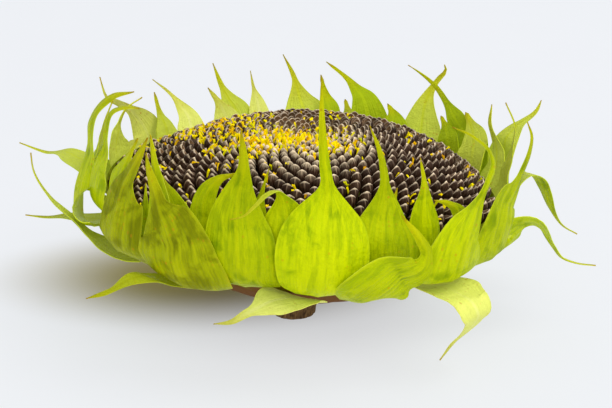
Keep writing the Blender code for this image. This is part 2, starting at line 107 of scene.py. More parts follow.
@dataclass(frozen=True)
class HeadSpace:
    """The head's upright axis and the dome of its seeds, as in the part's source."""

    foot: tuple[float, float]     # x and y in metres where the axis meets the table
    lean: float = 4.0             # degrees, the right side lower
    disc_radius: float = 75.0
    rim_up: float = 53.0
    dome_rise: float = 21.5
    dome_power: float = 2.6
    dome_lopsided: float = 1.1
    dome_full_turn: float = 105.0
    centre_dip: float = 2.0

    @classmethod
    def on_stub(cls) -> HeadSpace:
        """Finds the axis from the stem stub's box: its top end leans over by the stub's height."""
        low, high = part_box("stem_stub")
        sideways = (high[2] - low[2]) * np.sin(np.radians(cls.lean))
        middle = (low + high) / 2.0
        return cls(foot=(middle[0] - sideways, middle[1]))

    def dome_up(self, out: Array, turn: Array) -> Array:
        """Height of the seeds' ends: a flat-topped power curve with a dip in the middle."""
        share = out / self.disc_radius
        power = self.dome_power + self.dome_lopsided * np.cos(np.radians(turn - self.dome_full_turn))
        dip = self.centre_dip * bell(share, 0.0, 0.25)
        return self.rim_up + self.dome_rise * (1.0 - share**power) - dip

    def place(self, turn: Array, out: Array, up: Array) -> Array:
        """Turns (turn, out, up) into metres: polar to level, then leant over sideways.

        Args:
            turn: degrees round the axis.
            out: millimetres from the axis.
            up: millimetres above the cut end of the stem.

        Returns:
            Points, with x, y and z along the last axis.
        """
        angle = np.radians(turn)
        side = out * np.sin(angle)
        lean = np.radians(self.lean)
        x = side * np.cos(lean) + up * np.sin(lean)
        y = -out * np.cos(angle)
        z = up * np.cos(lean) - side * np.sin(lean)
        points = np.stack(np.broadcast_arrays(x, y, z), -1) * MM
        return points + np.array([*self.foot, 0.0])

    def on_dome(self, turn: Array, out: Array, sink: float | Array) -> Stand:
        """Places on the dome with the directions there.

        Args:
            turn: degrees round the axis.
            out: millimetres from the axis.
            sink: millimetres below the seeds' ends.

        Returns:
            The places; their axes point outward along the dome, round the axis, and up out of it.
        """
        step = 0.25
        near = self.place(turn, out - step, self.dome_up(np.maximum(out - step, 0.0), turn))
        far = self.place(turn, out + step, self.dome_up(out + step, turn))
        outward = far - near
        outward /= np.linalg.norm(outward, axis=-1, keepdims=True)
        turned = self.place(turn + 90.0, out * 0.0 + 1.0, out * 0.0) - self.place(turn, out * 0.0, out * 0.0)
        above = np.cross(outward, turned)
        above /= np.linalg.norm(above, axis=-1, keepdims=True)
        around = np.cross(above, outward)
        depth = np.reshape(sink, (-1, 1)) * MM
        origins = self.place(turn, out, self.dome_up(out, turn)) - above * depth
        return Stand(origins, np.stack([outward, around, above], axis=-2))


@dataclass
class Surface:
    """Points, faces and per-point values of one mesh, as whole arrays.

    Each array in faces holds corner numbers, one row per face.
    """

    points: Array
    faces: list[Array]
    values: dict[str, Array] = field(default_factory=dict)

    def volume(self) -> float:
        """Signed volume: the pyramids from the origin to each triangle of each face, summed."""
        total = 0.0
        for rows in self.faces:
            corners = self.points[rows]
            for k in range(1, rows.shape[1] - 1):
                total += np.einsum("ij,ij->", corners[:, 0], np.cross(corners[:, k], corners[:, k + 1]))
        return float(total) / 6.0

    def to_object(self, name: str, material: bpy.types.Material, sharp: float = 55.0) -> bpy.types.Object:
        """Makes the mesh object, faces outward.

        Args:
            name: the piece's name.
            material: its only material.
            sharp: edges bent by more degrees than this stay sharp.

        Returns:
            The object, linked to the scene.
        """
        faces = [rows[:, ::-1] for rows in self.faces] if self.volume() < 0.0 else self.faces
        sizes = np.concatenate([np.full(len(rows), rows.shape[1]) for rows in faces])
        corners = np.concatenate([rows.ravel() for rows in faces])
        mesh = bpy.data.meshes.new(name)
        mesh.vertices.add(len(self.points))
        mesh.vertices.foreach_set("co", np.ascontiguousarray(self.points, dtype=np.float32).ravel())
        mesh.loops.add(len(corners))
        mesh.loops.foreach_set("vertex_index", corners.astype(np.int32))
        mesh.polygons.add(len(sizes))
        mesh.polygons.foreach_set("loop_start", (np.cumsum(sizes) - sizes).astype(np.int32))
        mesh.update(calc_edges=True)
        mesh.validate()
        for key, value in self.values.items():
            layer = mesh.attributes.new(key, "FLOAT", "POINT")
            layer.data.foreach_set("value", np.ascontiguousarray(value, dtype=np.float32).ravel())
        mesh.shade_smooth()
        mesh.set_sharp_from_angle(angle=np.radians(sharp))
        mesh.materials.append(material)
        made = bpy.data.objects.new(name, mesh)
        bpy.context.scene.collection.objects.link(made)
        return made


def sheet_faces(rows: int, columns: int) -> list[Array]:
    """Faces of a thin closed sheet: grid one, grid two turned round, and a strip along each edge.

    The points are grid one, row by row, and then grid two in the same order.
    """
    number = np.arange(rows * columns).reshape(rows, columns)
    shift = rows * columns
    top = np.stack([number[:-1, :-1], number[:-1, 1:], number[1:, 1:], number[1:, :-1]], -1).reshape(-1, 4)
    rim = np.concatenate([number[0, :-1], number[:-1, -1], number[-1, :0:-1], number[:0:-1, 0]])
    after = np.roll(rim, -1)
    strip = np.stack([after, rim, rim + shift, after + shift], -1)
    return [np.vstack([top, top[:, ::-1] + shift, strip])]


def tube_faces(rings: int, sides: int, tip: bool) -> list[Array]:
    """Faces of a closed tube: quads between rings, one face at the first end.

    The last ring closes with triangles to one more point if tip is true, or else with one face.
    """
    number = np.arange(rings * sides).reshape(rings, sides)
    after = np.roll(number, -1, axis=1)
    wall = np.stack([number[:-1], after[:-1], after[1:], number[1:]], -1).reshape(-1, 4)
    faces = [wall, number[:1, ::-1]]
    if tip:
        faces.append(np.stack([number[-1], after[-1], np.full(sides, rings * sides)], -1))
    else:
        faces.append(number[-1:])
    return faces


@dataclass(frozen=True)
class Stand:
    """Where the copies of a shape stand: origins (n, 3) in metres, and axes as rows (n, 3, 3)."""

    origins: Array
    frames: Array

    def copies(self, local: Array, faces: list[Array], same: dict[str, Array],
               own: dict[str, Array]) -> Surface:
        """Makes all copies one surface.

        Args:
            local: points of each copy in millimetres along its own axes, (n, points, 3).
            faces: faces of one copy.
            same: per-point values that are alike on all copies.
            own: values of which each copy has one.

        Returns:
            The surface of all copies.
        """
        count, size = local.shape[:2]
        starts = (np.arange(count) * size)[:, None, None]
        points = np.einsum("nkj,nji->nki", local, self.frames) * MM + self.origins[:, None]
        rows = [(corners[None] + starts).reshape(-1, corners.shape[1]) for corners in faces]
        values = {key: np.tile(value, count) for key, value in same.items()}
        values |= {key: np.repeat(value, size) for key, value in own.items()}
        return Surface(points.reshape(-1, 3), rows, values)

    def tipped(self, rng: np.random.Generator, amount: float) -> Stand:
        """The same places with each frame tipped by a small random slope."""
        tip = rng.normal(0.0, amount, (len(self.frames), 2, 1))
        above = self.frames[:, 2] + tip[:, 0] * self.frames[:, 0] + tip[:, 1] * self.frames[:, 1]
        above /= np.linalg.norm(above, axis=1, keepdims=True)
        outward = self.frames[:, 0] - np.sum(self.frames[:, 0] * above, axis=1, keepdims=True) * above
        outward /= np.linalg.norm(outward, axis=1, keepdims=True)
        return Stand(self.origins, np.stack([outward, np.cross(above, outward), above], axis=1))


def add_piece(surface: Surface, name: str, material: bpy.types.Material, slot: str,
              *nodes: str) -> bpy.types.Object:
    """Adds a piece of the head that rides on its only body.

    Args:
        surface: the piece's mesh.
        name: the piece's name.
        material: its finish.
        slot: the record's material slot; not used.
        nodes: the CAD nodes that the piece stands for.

    Returns:
        The new object.
    """
    made = surface.to_object(name, material)
    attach(made, BODY)
    if nodes:
        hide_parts(*nodes)
    triangles = sum(len(face.vertices) - 2 for face in made.data.polygons)
    log.info("%s: %d triangles, replaces %s", name, triangles, ", ".join(nodes) or "nothing")
    return made


class Graph:
    """Adds nodes to one node tree and joins them; most methods return the new node's output."""

    def __init__(self, tree: bpy.types.NodeTree) -> None:
        """Starts on an empty or existing tree."""
        self.tree = tree

    def feed(self, socket: Socket, value: object) -> None:
        """Joins a socket to an output, or sets its value."""
        if isinstance(value, Socket):
            self.tree.links.new(value, socket)
        elif socket.type == "RGBA":
            socket.default_value = (*value, 1.0)
        else:
            socket.default_value = value

    def node(self, kind: str, inputs: dict, **settings: object) -> bpy.types.Node:
        """Adds a node, with its settings and its inputs by name or number."""
        made = self.tree.nodes.new(kind)
        for key, value in settings.items():
            setattr(made, key, value)
        for key, value in inputs.items():
            self.feed(made.inputs[key], value)
        return made

    def math(self, operation: str, *values: object) -> Socket:
        """Adds a Math node."""
        return self.node("ShaderNodeMath", dict(enumerate(values)), operation=operation).outputs[0]

    def times(self, first: object, second: object) -> Socket:
        """Multiplies two values."""
        return self.math("MULTIPLY", first, second)

    def plus(self, first: object, second: object) -> Socket:
        """Adds two values."""
        return self.math("ADD", first, second)

    def minus(self, first: object, second: object) -> Socket:
        """Takes the second value from the first."""
        return self.math("SUBTRACT", first, second)

    def mix(self, share: object, first: object, second: object, blend: str = "MIX") -> Socket:
        """Mixes two colours."""
        made = self.node("ShaderNodeMix", {}, data_type="RGBA", blend_type=blend)
        self.feed(made.inputs[0], share)
        self.feed(made.inputs[6], first)
        self.feed(made.inputs[7], second)
        return made.outputs[2]

    def layers(self, colour: object, *coats: tuple[object, float, Colour]) -> object:
        """Lays coats over a colour, each given by its mask, its greatest share and its colour."""
        for mask, share, coat in coats:
            colour = self.mix(mask if share == 1.0 else self.times(mask, share), colour, coat)
        return colour

    def shaded(self, colour: Socket, red: Socket, blue: Socket) -> Socket:
        """Multiplies a colour's red and green by one value and its blue by another."""
        return self.mix(1.0, colour, self.vector(red, red, blue), "MULTIPLY")

    def span(self, value: object, start: object, end: object, low: object = 0.0,
             high: object = 1.0) -> Socket:
        """Maps a value smoothly from start..end to low..high, held at the ends."""
        inputs = {"Value": value, "From Min": start, "From Max": end, "To Min": low, "To Max": high}
        return self.node("ShaderNodeMapRange", inputs, interpolation_type="SMOOTHSTEP").outputs["Result"]

    def noise(self, vector: object, scale: object, detail: float = 3.0, rough: float = 0.5,
              twist: float = 0.0) -> Socket:
        """Adds a Noise Texture and gives its grey value."""
        inputs = {"Vector": vector, "Scale": scale, "Detail": detail, "Roughness": rough,
                  "Distortion": twist}
        return self.node("ShaderNodeTexNoise", inputs).outputs[0]

    def spots(self, vector: object, scale: object) -> Socket:
        """Adds a Voronoi Texture and gives the distance from the nearest cell's middle."""
        inputs = {"Vector": vector, "Scale": scale}
        return self.node("ShaderNodeTexVoronoi", inputs, feature="F1").outputs["Distance"]

    def value(self, name: str) -> Socket:
        """Reads a per-point value of the mesh."""
        return self.node("ShaderNodeAttribute", {}, attribute_name=name).outputs["Fac"]

    def vector(self, x: object, y: object, z: object) -> Socket:
        """Makes a vector of three values."""
        return self.node("ShaderNodeCombineXYZ", {0: x, 1: y, 2: z}).outputs[0]

    def millimetres(self, stretch: Colour = (1.0, 1.0, 1.0)) -> Socket:
        """Object coordinates in millimetres, each axis divided by its stretch."""
        scale = tuple(1.0 / MM / part for part in stretch)
        coordinates = self.node("ShaderNodeTexCoord", {}).outputs["Object"]
        return self.node("ShaderNodeMapping", {"Vector": coordinates, "Scale": scale}).outputs[0]

    def bump(self, height: object, distance: float, strength: float) -> Socket:
        """Turns a height into a normal; distance is in metres."""
        inputs = {"Height": height, "Distance": distance, "Strength": strength}
        return self.node("ShaderNodeBump", inputs).outputs[0]

    def mask(self, effect: bpy.types.NodeTree, **inputs: object) -> Socket:
        """Places one of the node groups and gives its mask."""
        return self.node("ShaderNodeGroup", inputs, node_tree=effect).outputs["Mask"]

    def finish(self, colour: object, roughness: object, specular: float, normal: Socket,
               glow: float = 0.0) -> None:
        """Feeds the Principled BSDF.

        Args:
            colour: base colour.
            roughness: roughness.
            specular: level of the mirror-like reflection.
            normal: output of a bump node.
            glow: painted glow, how strongly the colour also shines by itself, standing in for light that
                comes through.
        """
        shader = self.tree.nodes["Principled BSDF"]
        self.feed(shader.inputs["Base Color"], colour)
        self.feed(shader.inputs["Roughness"], roughness)
        self.feed(shader.inputs["Specular IOR Level"], specular)
        self.feed(shader.inputs["Normal"], normal)
        if glow > 0.0:
            self.feed(shader.inputs["Emission Color"], colour)
            self.feed(shader.inputs["Emission Strength"], glow)


def new_material(name: str) -> tuple[bpy.types.Material, Graph]:
    """Makes a material and gives it and its graph."""
    made = bpy.data.materials.new(name)
    made.use_nodes = True
    return made, Graph(made.node_tree)


def new_effect(name: str, build: Callable[[Graph, dict], Socket], **inputs: float) -> bpy.types.NodeTree:
    """Makes a node group that turns Vector and some numbers into Mask.

    Args:
        name: the group's name.
        build: adds the nodes; takes the graph and the input sockets by name, gives the mask.
        inputs: name and default of each number that the group takes.

    Returns:
        The group's node tree.
    """
    tree = bpy.data.node_groups.new(name, "ShaderNodeTree")
    tree.interface.new_socket("Vector", in_out="INPUT", socket_type="NodeSocketVector")
    for key, default in inputs.items():
        made = tree.interface.new_socket(key, in_out="INPUT", socket_type="NodeSocketFloat")
        made.default_value = default
    tree.interface.new_socket("Mask", in_out="OUTPUT", socket_type="NodeSocketFloat")
    graph = Graph(tree)
    entry = tree.nodes.new("NodeGroupInput")
    leave = tree.nodes.new("NodeGroupOutput")
    given = {key: entry.outputs[key] for key in ("Vector", *inputs)}
    graph.feed(leave.inputs["Mask"], build(graph, given))
    return tree


class Effects:
    """The node groups that several finishes share, each built once."""

    def __init__(self) -> None:
        """Builds the groups."""
        self.fibres = new_effect("Fibres", self.build_fibres, Fineness=1.0, Sharpness=0.5)
        self.blotches = new_effect("Blotches", self.build_blotches, Scale=0.1, Amount=0.5)
        self.specks = new_effect("Specks", self.build_specks, Scale=1.0, Amount=0.2)

    @staticmethod
    def build_fibres(graph: Graph, given: dict) -> Socket:
        """Streaks along the vector's second axis: coarse and fine noise added, then steepened."""
        coarse = graph.noise(given["Vector"], given["Fineness"], detail=2.0)
        fine_scale = graph.times(given["Fineness"], 2.7)
        fine = graph.noise(given["Vector"], fine_scale, detail=3.0, rough=0.6)
        both = graph.plus(graph.times(coarse, 0.6), graph.times(fine, 0.4))
        low = graph.minus(0.5, graph.times(given["Sharpness"], 0.25))
        return graph.span(both, low, 0.66)

    @staticmethod
    def build_blotches(graph: Graph, given: dict) -> Socket:
        """Soft patches: low noise above a threshold that falls as Amount grows."""
        cloud = graph.noise(given["Vector"], given["Scale"], detail=4.0, rough=0.55, twist=0.4)
        start = graph.minus(0.72, graph.times(given["Amount"], 0.36))
        return graph.span(cloud, start, graph.plus(start, 0.2))

    @staticmethod
    def build_specks(graph: Graph, given: dict) -> Socket:
        """Small spots: the middles of random cells, kept where a slower noise is high."""
        distance = graph.spots(given["Vector"], given["Scale"])
        slow = graph.noise(given["Vector"], graph.times(given["Scale"], 0.4), detail=1.0)
        round_spots = graph.span(distance, 0.12, 0.3, 1.0, 0.0)
        kept = graph.span(slow, graph.minus(0.7, graph.times(given["Amount"], 0.4)), 0.75)
        return graph.times(round_spots, kept)


@dataclass(frozen=True)
class SeedFinish:
    """Ripe hulls, almost black, with grey streaks; the young ones in the middle are browner."""

    hull: Colour = paint(70, 49, 34)
    streak: Colour = paint(166, 136, 106)
    young: Colour = paint(120, 98, 76)
    roughness: tuple[float, float] = (0.42, 0.7)      # between the streaks and on them
    specular: float = 0.16
    shades: tuple[float, float] = (0.7, 1.25)         # of the darkest and the lightest seed
    fineness: float = 2.2
    streaked: float = 0.5                             # share of the streaks' colour
    aged: float = 0.8                                 # share of the young colour in the middle
    relief: float = 0.0001

    def material(self, effects: Effects) -> bpy.types.Material:
        """Builds the material; it reads around, rise, tint and young of each seed."""
        made, graph = new_material("seed_hull")
        tint = graph.value("tint")
        around = graph.vector(graph.value("around"), graph.times(graph.value("rise"), 0.6),
                              graph.times(tint, 40.0))
        streaks = graph.mask(effects.fibres, Vector=around, Fineness=self.fineness)
        colour = graph.layers(
            self.hull, (streaks, self.streaked, self.streak), (graph.value("young"), self.aged, self.young))
        shade = graph.span(tint, 0.0, 1.0, *self.shades)
        graph.finish(graph.shaded(colour, shade, shade), graph.span(streaks, 0.0, 1.0, *self.roughness),
                     self.specular, graph.bump(streaks, self.relief, 0.6))
        return made


@dataclass(frozen=True)
class ScaleFinish:
    """Dry scales round the seeds: dark outside, with a grey keel and a pale edge and tip, both partly their
    own colour and partly painted highlight.
    """

    dark: Colour = paint(50, 28, 16)
    # grey of the fibres and the keel; on the keel it is partly painted highlight
    keel: Colour = paint(186, 156, 128)
    # pale edge and tip, partly their own colour and partly painted highlight
    rim: Colour = paint(255, 230, 196)
    inside: Colour = paint(214, 170, 124)
    young: Colour = paint(250, 226, 186)
    roughness: float = 0.4
    specular: float = 0.07
    shades: tuple[float, float] = (0.65, 1.2)         # of the darkest and the lightest scale
    fineness: float = 3.0
    fibrous: float = 0.1                              # share of the keel's colour in the fibres
    keel_and_highlight: tuple[float, float] = (0.03, 0.7)         # share of the keel colour, partly painted highlight, low and at the tip
    lined: float = 0.8                                # share of the inside colour
    rim_and_highlight: tuple[float, float] = (0.7, 1.0)          # share of the rim's colour, partly painted highlight, aside and at the keel
    aged: float = 0.8                                 # share of the young colour at a young tip
    relief: float = 0.00008

    def material(self, effects: Effects) -> bpy.types.Material:
        """Builds the material; it reads rise, keel, around, inner, tint and young of each scale."""
        made, graph = new_material("seed_scale")
        rise = graph.value("rise")
        keel = graph.value("keel")
        tint = graph.value("tint")
        along = graph.vector(graph.times(graph.value("around"), 3.0), graph.times(rise, 0.8),
                             graph.times(tint, 60.0))
        fibres = graph.mask(effects.fibres, Vector=along, Fineness=self.fineness)
        # Keel streak and pale rim: partly the scale's own colour, partly painted highlight where the keel
        # and the top edge catch the light.
        streak = graph.span(graph.plus(keel, graph.times(fibres, 0.12)), 0.74, 1.02)
        streak = graph.times(streak, graph.span(rise, 0.45, 1.0, *self.keel_and_highlight))
        ragged = graph.plus(rise, graph.times(fibres, 0.02))
        edge = graph.times(graph.span(ragged, 0.88, 1.0), graph.span(keel, 0.0, 0.9, *self.rim_and_highlight))
        frayed = graph.plus(rise, graph.times(fibres, 0.2))
        youth = graph.times(graph.value("young"), graph.span(frayed, 0.72, 1.06, 0.0, self.aged))
        colour = graph.layers(
            self.dark,
            (fibres, self.fibrous, self.keel),
            (streak, 1.0, self.keel),
            (graph.value("inner"), self.lined, self.inside),
            (edge, 1.0, self.rim),
            (youth, 1.0, self.young))
        shade = graph.span(tint, 0.0, 1.0, *self.shades)
        graph.finish(graph.shaded(colour, shade, shade), self.roughness, self.specular,
                     graph.bump(fibres, self.relief, 0.6))
        return made


@dataclass(frozen=True)
class FloretFinish:
    """Shrivelled flower tubes, lemon to orange, browner at the mouth, with a painted glow of their own
    colour.
    """

    lemon: Colour = paint(255, 238, 0)
    orange: Colour = paint(250, 196, 0)
    brown: Colour = paint(170, 110, 20)
    green: Colour = paint(206, 212, 0)
    # painted glow: the tubes shine by themselves, standing in for light that comes through them
    painted_glow: float = 0.14
    roughness: float = 0.65
    specular: float = 0.1
    fineness: float = 0.8
    fibrous: float = 0.3                              # share of orange in the fibres
    browned: float = 0.6                              # share of brown at a withered mouth
    relief: float = 0.00008

    def material(self, effects: Effects) -> bpy.types.Material:
        """Builds the material; it reads rise and tint of each floret."""
        made, graph = new_material("dried_floret")
        tint = graph.value("tint")
        upright = graph.millimetres((0.5, 0.5, 2.0))
        fibres = graph.mask(effects.fibres, Vector=upright, Fineness=self.fineness)
        withered = graph.times(graph.span(graph.value("rise"), 0.8, 1.0), graph.span(tint, 0.7, 0.95))
        colour = graph.layers(
            self.lemon,
            (graph.span(tint, 0.45, 1.0), 1.0, self.orange),
            (graph.span(tint, 0.2, 0.02), 1.0, self.green),
            (fibres, self.fibrous, self.orange),
            (withered, self.browned, self.brown))
        graph.finish(colour, self.roughness, self.specular, graph.bump(fibres, self.relief, 0.5),
                     self.painted_glow)
        return made


class Shade(Enum):
    """How a bract is coloured; the pale kind is partly painted light shining through the bract and the deep
    kind is a darker copy standing for painted shade.
    """

    FRESH = "fresh"
    OLIVE = "olive"
    # pale, partly its own colour and partly painted light shining through the back bracts
    PALE_AND_PAINTED_BACKLIGHT = "pale"
    # darker copy of the green, standing for painted shade on bracts that lie in shade
    PAINTED_SHADE = "deep"


@dataclass(frozen=True)
class BractFinish:
    """Green of one kind of bract, with its veins, dark blotches, dry edge and brown tip, a painted highlight
    on its bulge, painted shade in its crease and a painted glow.

    The fields from veined on are the greatest shares of a colour in its patches.
    """

    name: str
    body: Colour
    # darker green of the blotches and mottle, also laid as painted shade in the crease
    deep: Colour
    vein: Colour
    # colour of the painted highlight on the bulge
    lit: Colour
    inside: Colour
    blotches: float = 0.5
    dryness: float = 0.4
    edge: Colour = paint(206, 216, 40)
    dry: Colour = paint(196, 132, 20)
    tail: Colour = paint(222, 216, 10)
    tip: Colour = paint(176, 128, 20)
    # painted glow: the bract shines by itself in its own colour, standing in for light that comes through it
    painted_glow: float = 0.11
    roughness: tuple[float, float] = (0.42, 0.58)     # plain, and in a dark blotch
    specular: float = 0.05
    shades: tuple[float, float] = (0.86, 1.1)         # of the darkest and the lightest bract
    apart: float = 90.0                               # moves each bract's pattern to its own place
    veined: float = 0.65
    # share of the painted highlight on the bulge
    bulge_highlighted: float = 0.5
    mottled: float = 0.3
    blotched: float = 0.55
    # share of the painted shade in the crease
    crease_shaded: float = 0.5
    lined: float = 0.85
    midrib: float = 0.6
    yellowed: float = 0.6
    edged: float = 0.2
    margined: float = 0.75
    speckled: float = 0.6
    withered: float = 0.85
    relief: float = 0.0006

    def material(self, effects: Effects) -> bpy.types.Material:
        """Builds the material.

        It reads across (-1 to 1), reach (0 foot to 1 tip), side and far (millimetres across and
        along), swell (bulge of the lower part), inner (1 on the face toward the seeds) and tint
        of the bract.
        """
        made, graph = new_material("bract_" + self.name)
        read = {key: graph.value(key) for key in ("across", "reach", "side", "far", "swell", "tint")}
        apart = graph.times(read["tint"], self.apart)
        sheet = graph.vector(read["side"], read["far"], apart)
        lines = graph.vector(graph.times(read["across"], 7.5), graph.times(read["reach"], 1.2), apart)
        grain = graph.vector(read["side"], graph.times(read["far"], 0.22), apart)
        veins = graph.mask(effects.fibres, Vector=lines, Fineness=1.6, Sharpness=0.6)
        mottle = graph.mask(effects.blotches, Vector=grain, Scale=0.5, Amount=0.75)
        blotches = graph.mask(effects.blotches, Vector=sheet, Scale=0.11, Amount=self.blotches)
        colour = self.green(graph, read, veins, mottle, blotches)
        colour = self.aged(graph, read, sheet, effects, colour)
        wrinkles = graph.noise(sheet, 0.45, detail=4.0, rough=0.6)
        relief = graph.plus(graph.times(veins, 0.5), graph.times(wrinkles, 1.6))
        # The last argument is the painted glow.
        graph.finish(colour, graph.span(blotches, 0.0, 1.0, *self.roughness), self.specular,
                     graph.bump(relief, self.relief, 0.8), self.painted_glow)
        return made

    def green(self, graph: Graph, read: dict, veins: Socket, mottle: Socket, blotches: Socket) -> Socket:
        """The green: veins, a painted highlight on the bulge, mottle, blotches, painted shade in the creases
        and the midrib.
        """
        swell = read["swell"]
        midrib = graph.span(graph.math("ABSOLUTE", read["side"]), 0.25, 1.0, 1.0, 0.0)
        midrib = graph.times(midrib, graph.span(read["reach"], 0.1, 0.5, 0.2, 0.8))
        # Painted shade: darker in the crease at the top of the pad, where shade falls.
        crease_shade = graph.times(graph.span(swell, -0.02, -0.2), graph.times(mottle, self.crease_shaded))
        colour = graph.layers(
            self.body,
            (veins, self.veined, self.vein),
            # painted highlight: lighter on the bulge, as if its top caught the light
            (graph.span(swell, 0.3, 1.0, 0.0, self.bulge_highlighted), 1.0, self.lit),
            (mottle, self.mottled, self.deep),
            (blotches, self.blotched, self.deep),
            # painted shade in the crease
            (crease_shade, 1.0, self.deep),
            (graph.value("inner"), self.lined, self.inside),
            (midrib, self.midrib, self.vein))
        shade = graph.span(read["tint"], 0.0, 1.0, *self.shades)
        return graph.shaded(colour, shade, graph.times(shade, shade))

    def aged(self, graph: Graph, read: dict, sheet: Socket, effects: Effects, colour: Socket) -> Socket:
        """The same colour with a yellower tail, dry edges and specks, and a brown tip."""
        edge = graph.math("ABSOLUTE", read["across"])
        frayed = graph.noise(sheet, 0.35, detail=4.0, rough=0.6)
        tail = graph.plus(read["reach"], graph.times(read["tint"], 0.1))
        margin = graph.plus(edge, graph.times(frayed, 0.5))
        specks = graph.mask(effects.specks, Vector=sheet, Scale=0.45, Amount=self.dryness)
        tip = graph.plus(read["reach"], graph.times(frayed, 0.12))
        return graph.layers(
            colour,
            (graph.span(tail, 0.7, 0.98, 0.0, self.yellowed), 1.0, self.tail),
            (graph.span(edge, 0.94, 1.0, 0.0, self.edged), 1.0, self.edge),
            (graph.span(margin, 1.42 - 0.3 * self.dryness, 1.5), self.margined, self.dry),
            (specks, self.speckled, self.dry),
            (graph.span(tip, 0.98, 1.09), self.withered, self.tip))


BRACT_FINISHES = {
    Shade.FRESH: BractFinish("fresh", body=paint(176, 195, 0), deep=paint(94, 130, 0),
                             vein=paint(204, 213, 0), lit=paint(194, 204, 0),
                             inside=paint(212, 222, 80)),
    Shade.OLIVE: BractFinish("olive", body=paint(152, 163, 0), deep=paint(84, 88, 0),
                             vein=paint(184, 190, 6), lit=paint(176, 180, 0),
                             inside=paint(206, 216, 40), blotches=0.8, dryness=0.7),
    # Pale, partly painted light shining through the bracts
    Shade.PALE_AND_PAINTED_BACKLIGHT: BractFinish("pale", body=paint(236, 239, 120), deep=paint(190, 200, 50),
                            vein=paint(240, 242, 146), lit=paint(242, 243, 134),
                            inside=paint(232, 237, 110), dryness=0.8),
    # Darker copy of the green: painted shade
    Shade.PAINTED_SHADE: BractFinish("deep", body=paint(160, 182, 0), deep=paint(96, 118, 0),
                            vein=paint(190, 206, 20), lit=paint(180, 196, 0),
                            inside=paint(166, 186, 20), blotches=0.6),
}


@dataclass(frozen=True)
class StemFinish:
    """Cut stem: brown, fibrous and stained."""

    bark: Colour = paint(86, 62, 38)
    fibre: Colour = paint(140, 108, 66)
    stain: Colour = paint(48, 34, 24)
    roughness: float = 0.8
    specular: float = 0.06
    stained: float = 0.7                              # share of the stains' colour
    relief: float = 0.0003

    def material(self, effects: Effects) -> bpy.types.Material:
        """Builds the material on object coordinates."""
        made, graph = new_material("cut_stem")
        upright = graph.millimetres((1.0, 1.0, 6.0))
        fibres = graph.mask(effects.fibres, Vector=upright, Fineness=1.1)
        stains = graph.mask(effects.blotches, Vector=graph.millimetres(), Scale=0.3, Amount=0.6)
        colour = graph.layers(
            self.bark, (fibres, 1.0, self.fibre), (stains, self.stained, self.stain))
        graph.finish(colour, self.roughness, self.specular, graph.bump(fibres, self.relief, 0.8))
        return made


@dataclass(frozen=True)
class ReceptacleFinish:
    """Spongy underside: yellow-green with darker ribs, browning toward the stem, the brown partly its own
    and partly painted shade under the bracts.
    """

    green: Colour = paint(132, 146, 8)
    rib: Colour = paint(84, 92, 6)
    pale: Colour = paint(168, 176, 40)
    # brown toward the stem, partly the receptacle's own and partly painted shade under the bracts
    brown: Colour = paint(106, 66, 16)
    roughness: float = 0.7
    specular: float = 0.04
    fibrous: float = 0.6                              # share of the pale colour in the fibres
    blotched: float = 0.7                             # share of the ribs' colour in the blotches
    relief: float = 0.0003

    def material(self, effects: Effects) -> bpy.types.Material:
        """Builds the material; it reads ray_right, ray_back (a place on a circle), reach and browned."""
        made, graph = new_material("receptacle_skin")
        place = graph.millimetres()
        rays = graph.vector(graph.value("ray_right"), graph.value("ray_back"),
                            graph.times(graph.value("reach"), 3.0))
        fibres = graph.mask(effects.fibres, Vector=rays, Fineness=1.0)
        blotches = graph.mask(effects.blotches, Vector=place, Scale=0.08, Amount=0.6)
        cloud = graph.noise(place, 0.25, detail=4.0)
        uneven = graph.times(graph.minus(cloud, 0.5), 0.7)
        browned = graph.plus(graph.value("browned"), uneven)
        colour = graph.layers(
            self.green,
            (fibres, self.fibrous, self.pale),
            (blotches, self.blotched, self.rib),
            # Brown: partly the receptacle's own, partly painted shade under the bracts.
            (graph.span(browned, 0.25, 0.75), 1.0, self.brown))
        graph.finish(colour, self.roughness, self.specular,
                     graph.bump(graph.plus(fibres, cloud), self.relief, 0.8))
        return made


@dataclass(frozen=True)
class PaintedShadow:
    """Painted shadow: a patch of the table under the head with less glow; middle and reach in millimetres,
    glow left.
    """

    place: tuple[float, float]
    reach: tuple[float, float]
    left: float

    def mask(self, graph: Graph) -> Socket:
        """Share of the glow: left in the middle of the painted shadow, 1 outside it."""
        stretched = graph.millimetres((*self.reach, 1.0))
        middle = (self.place[0] / self.reach[0], self.place[1] / self.reach[1], 0.0)
        distance = graph.node("ShaderNodeVectorMath", {0: stretched, 1: middle},
                              operation="DISTANCE").outputs["Value"]
        return graph.span(distance, 0.3, 1.2, self.left, 1.0)


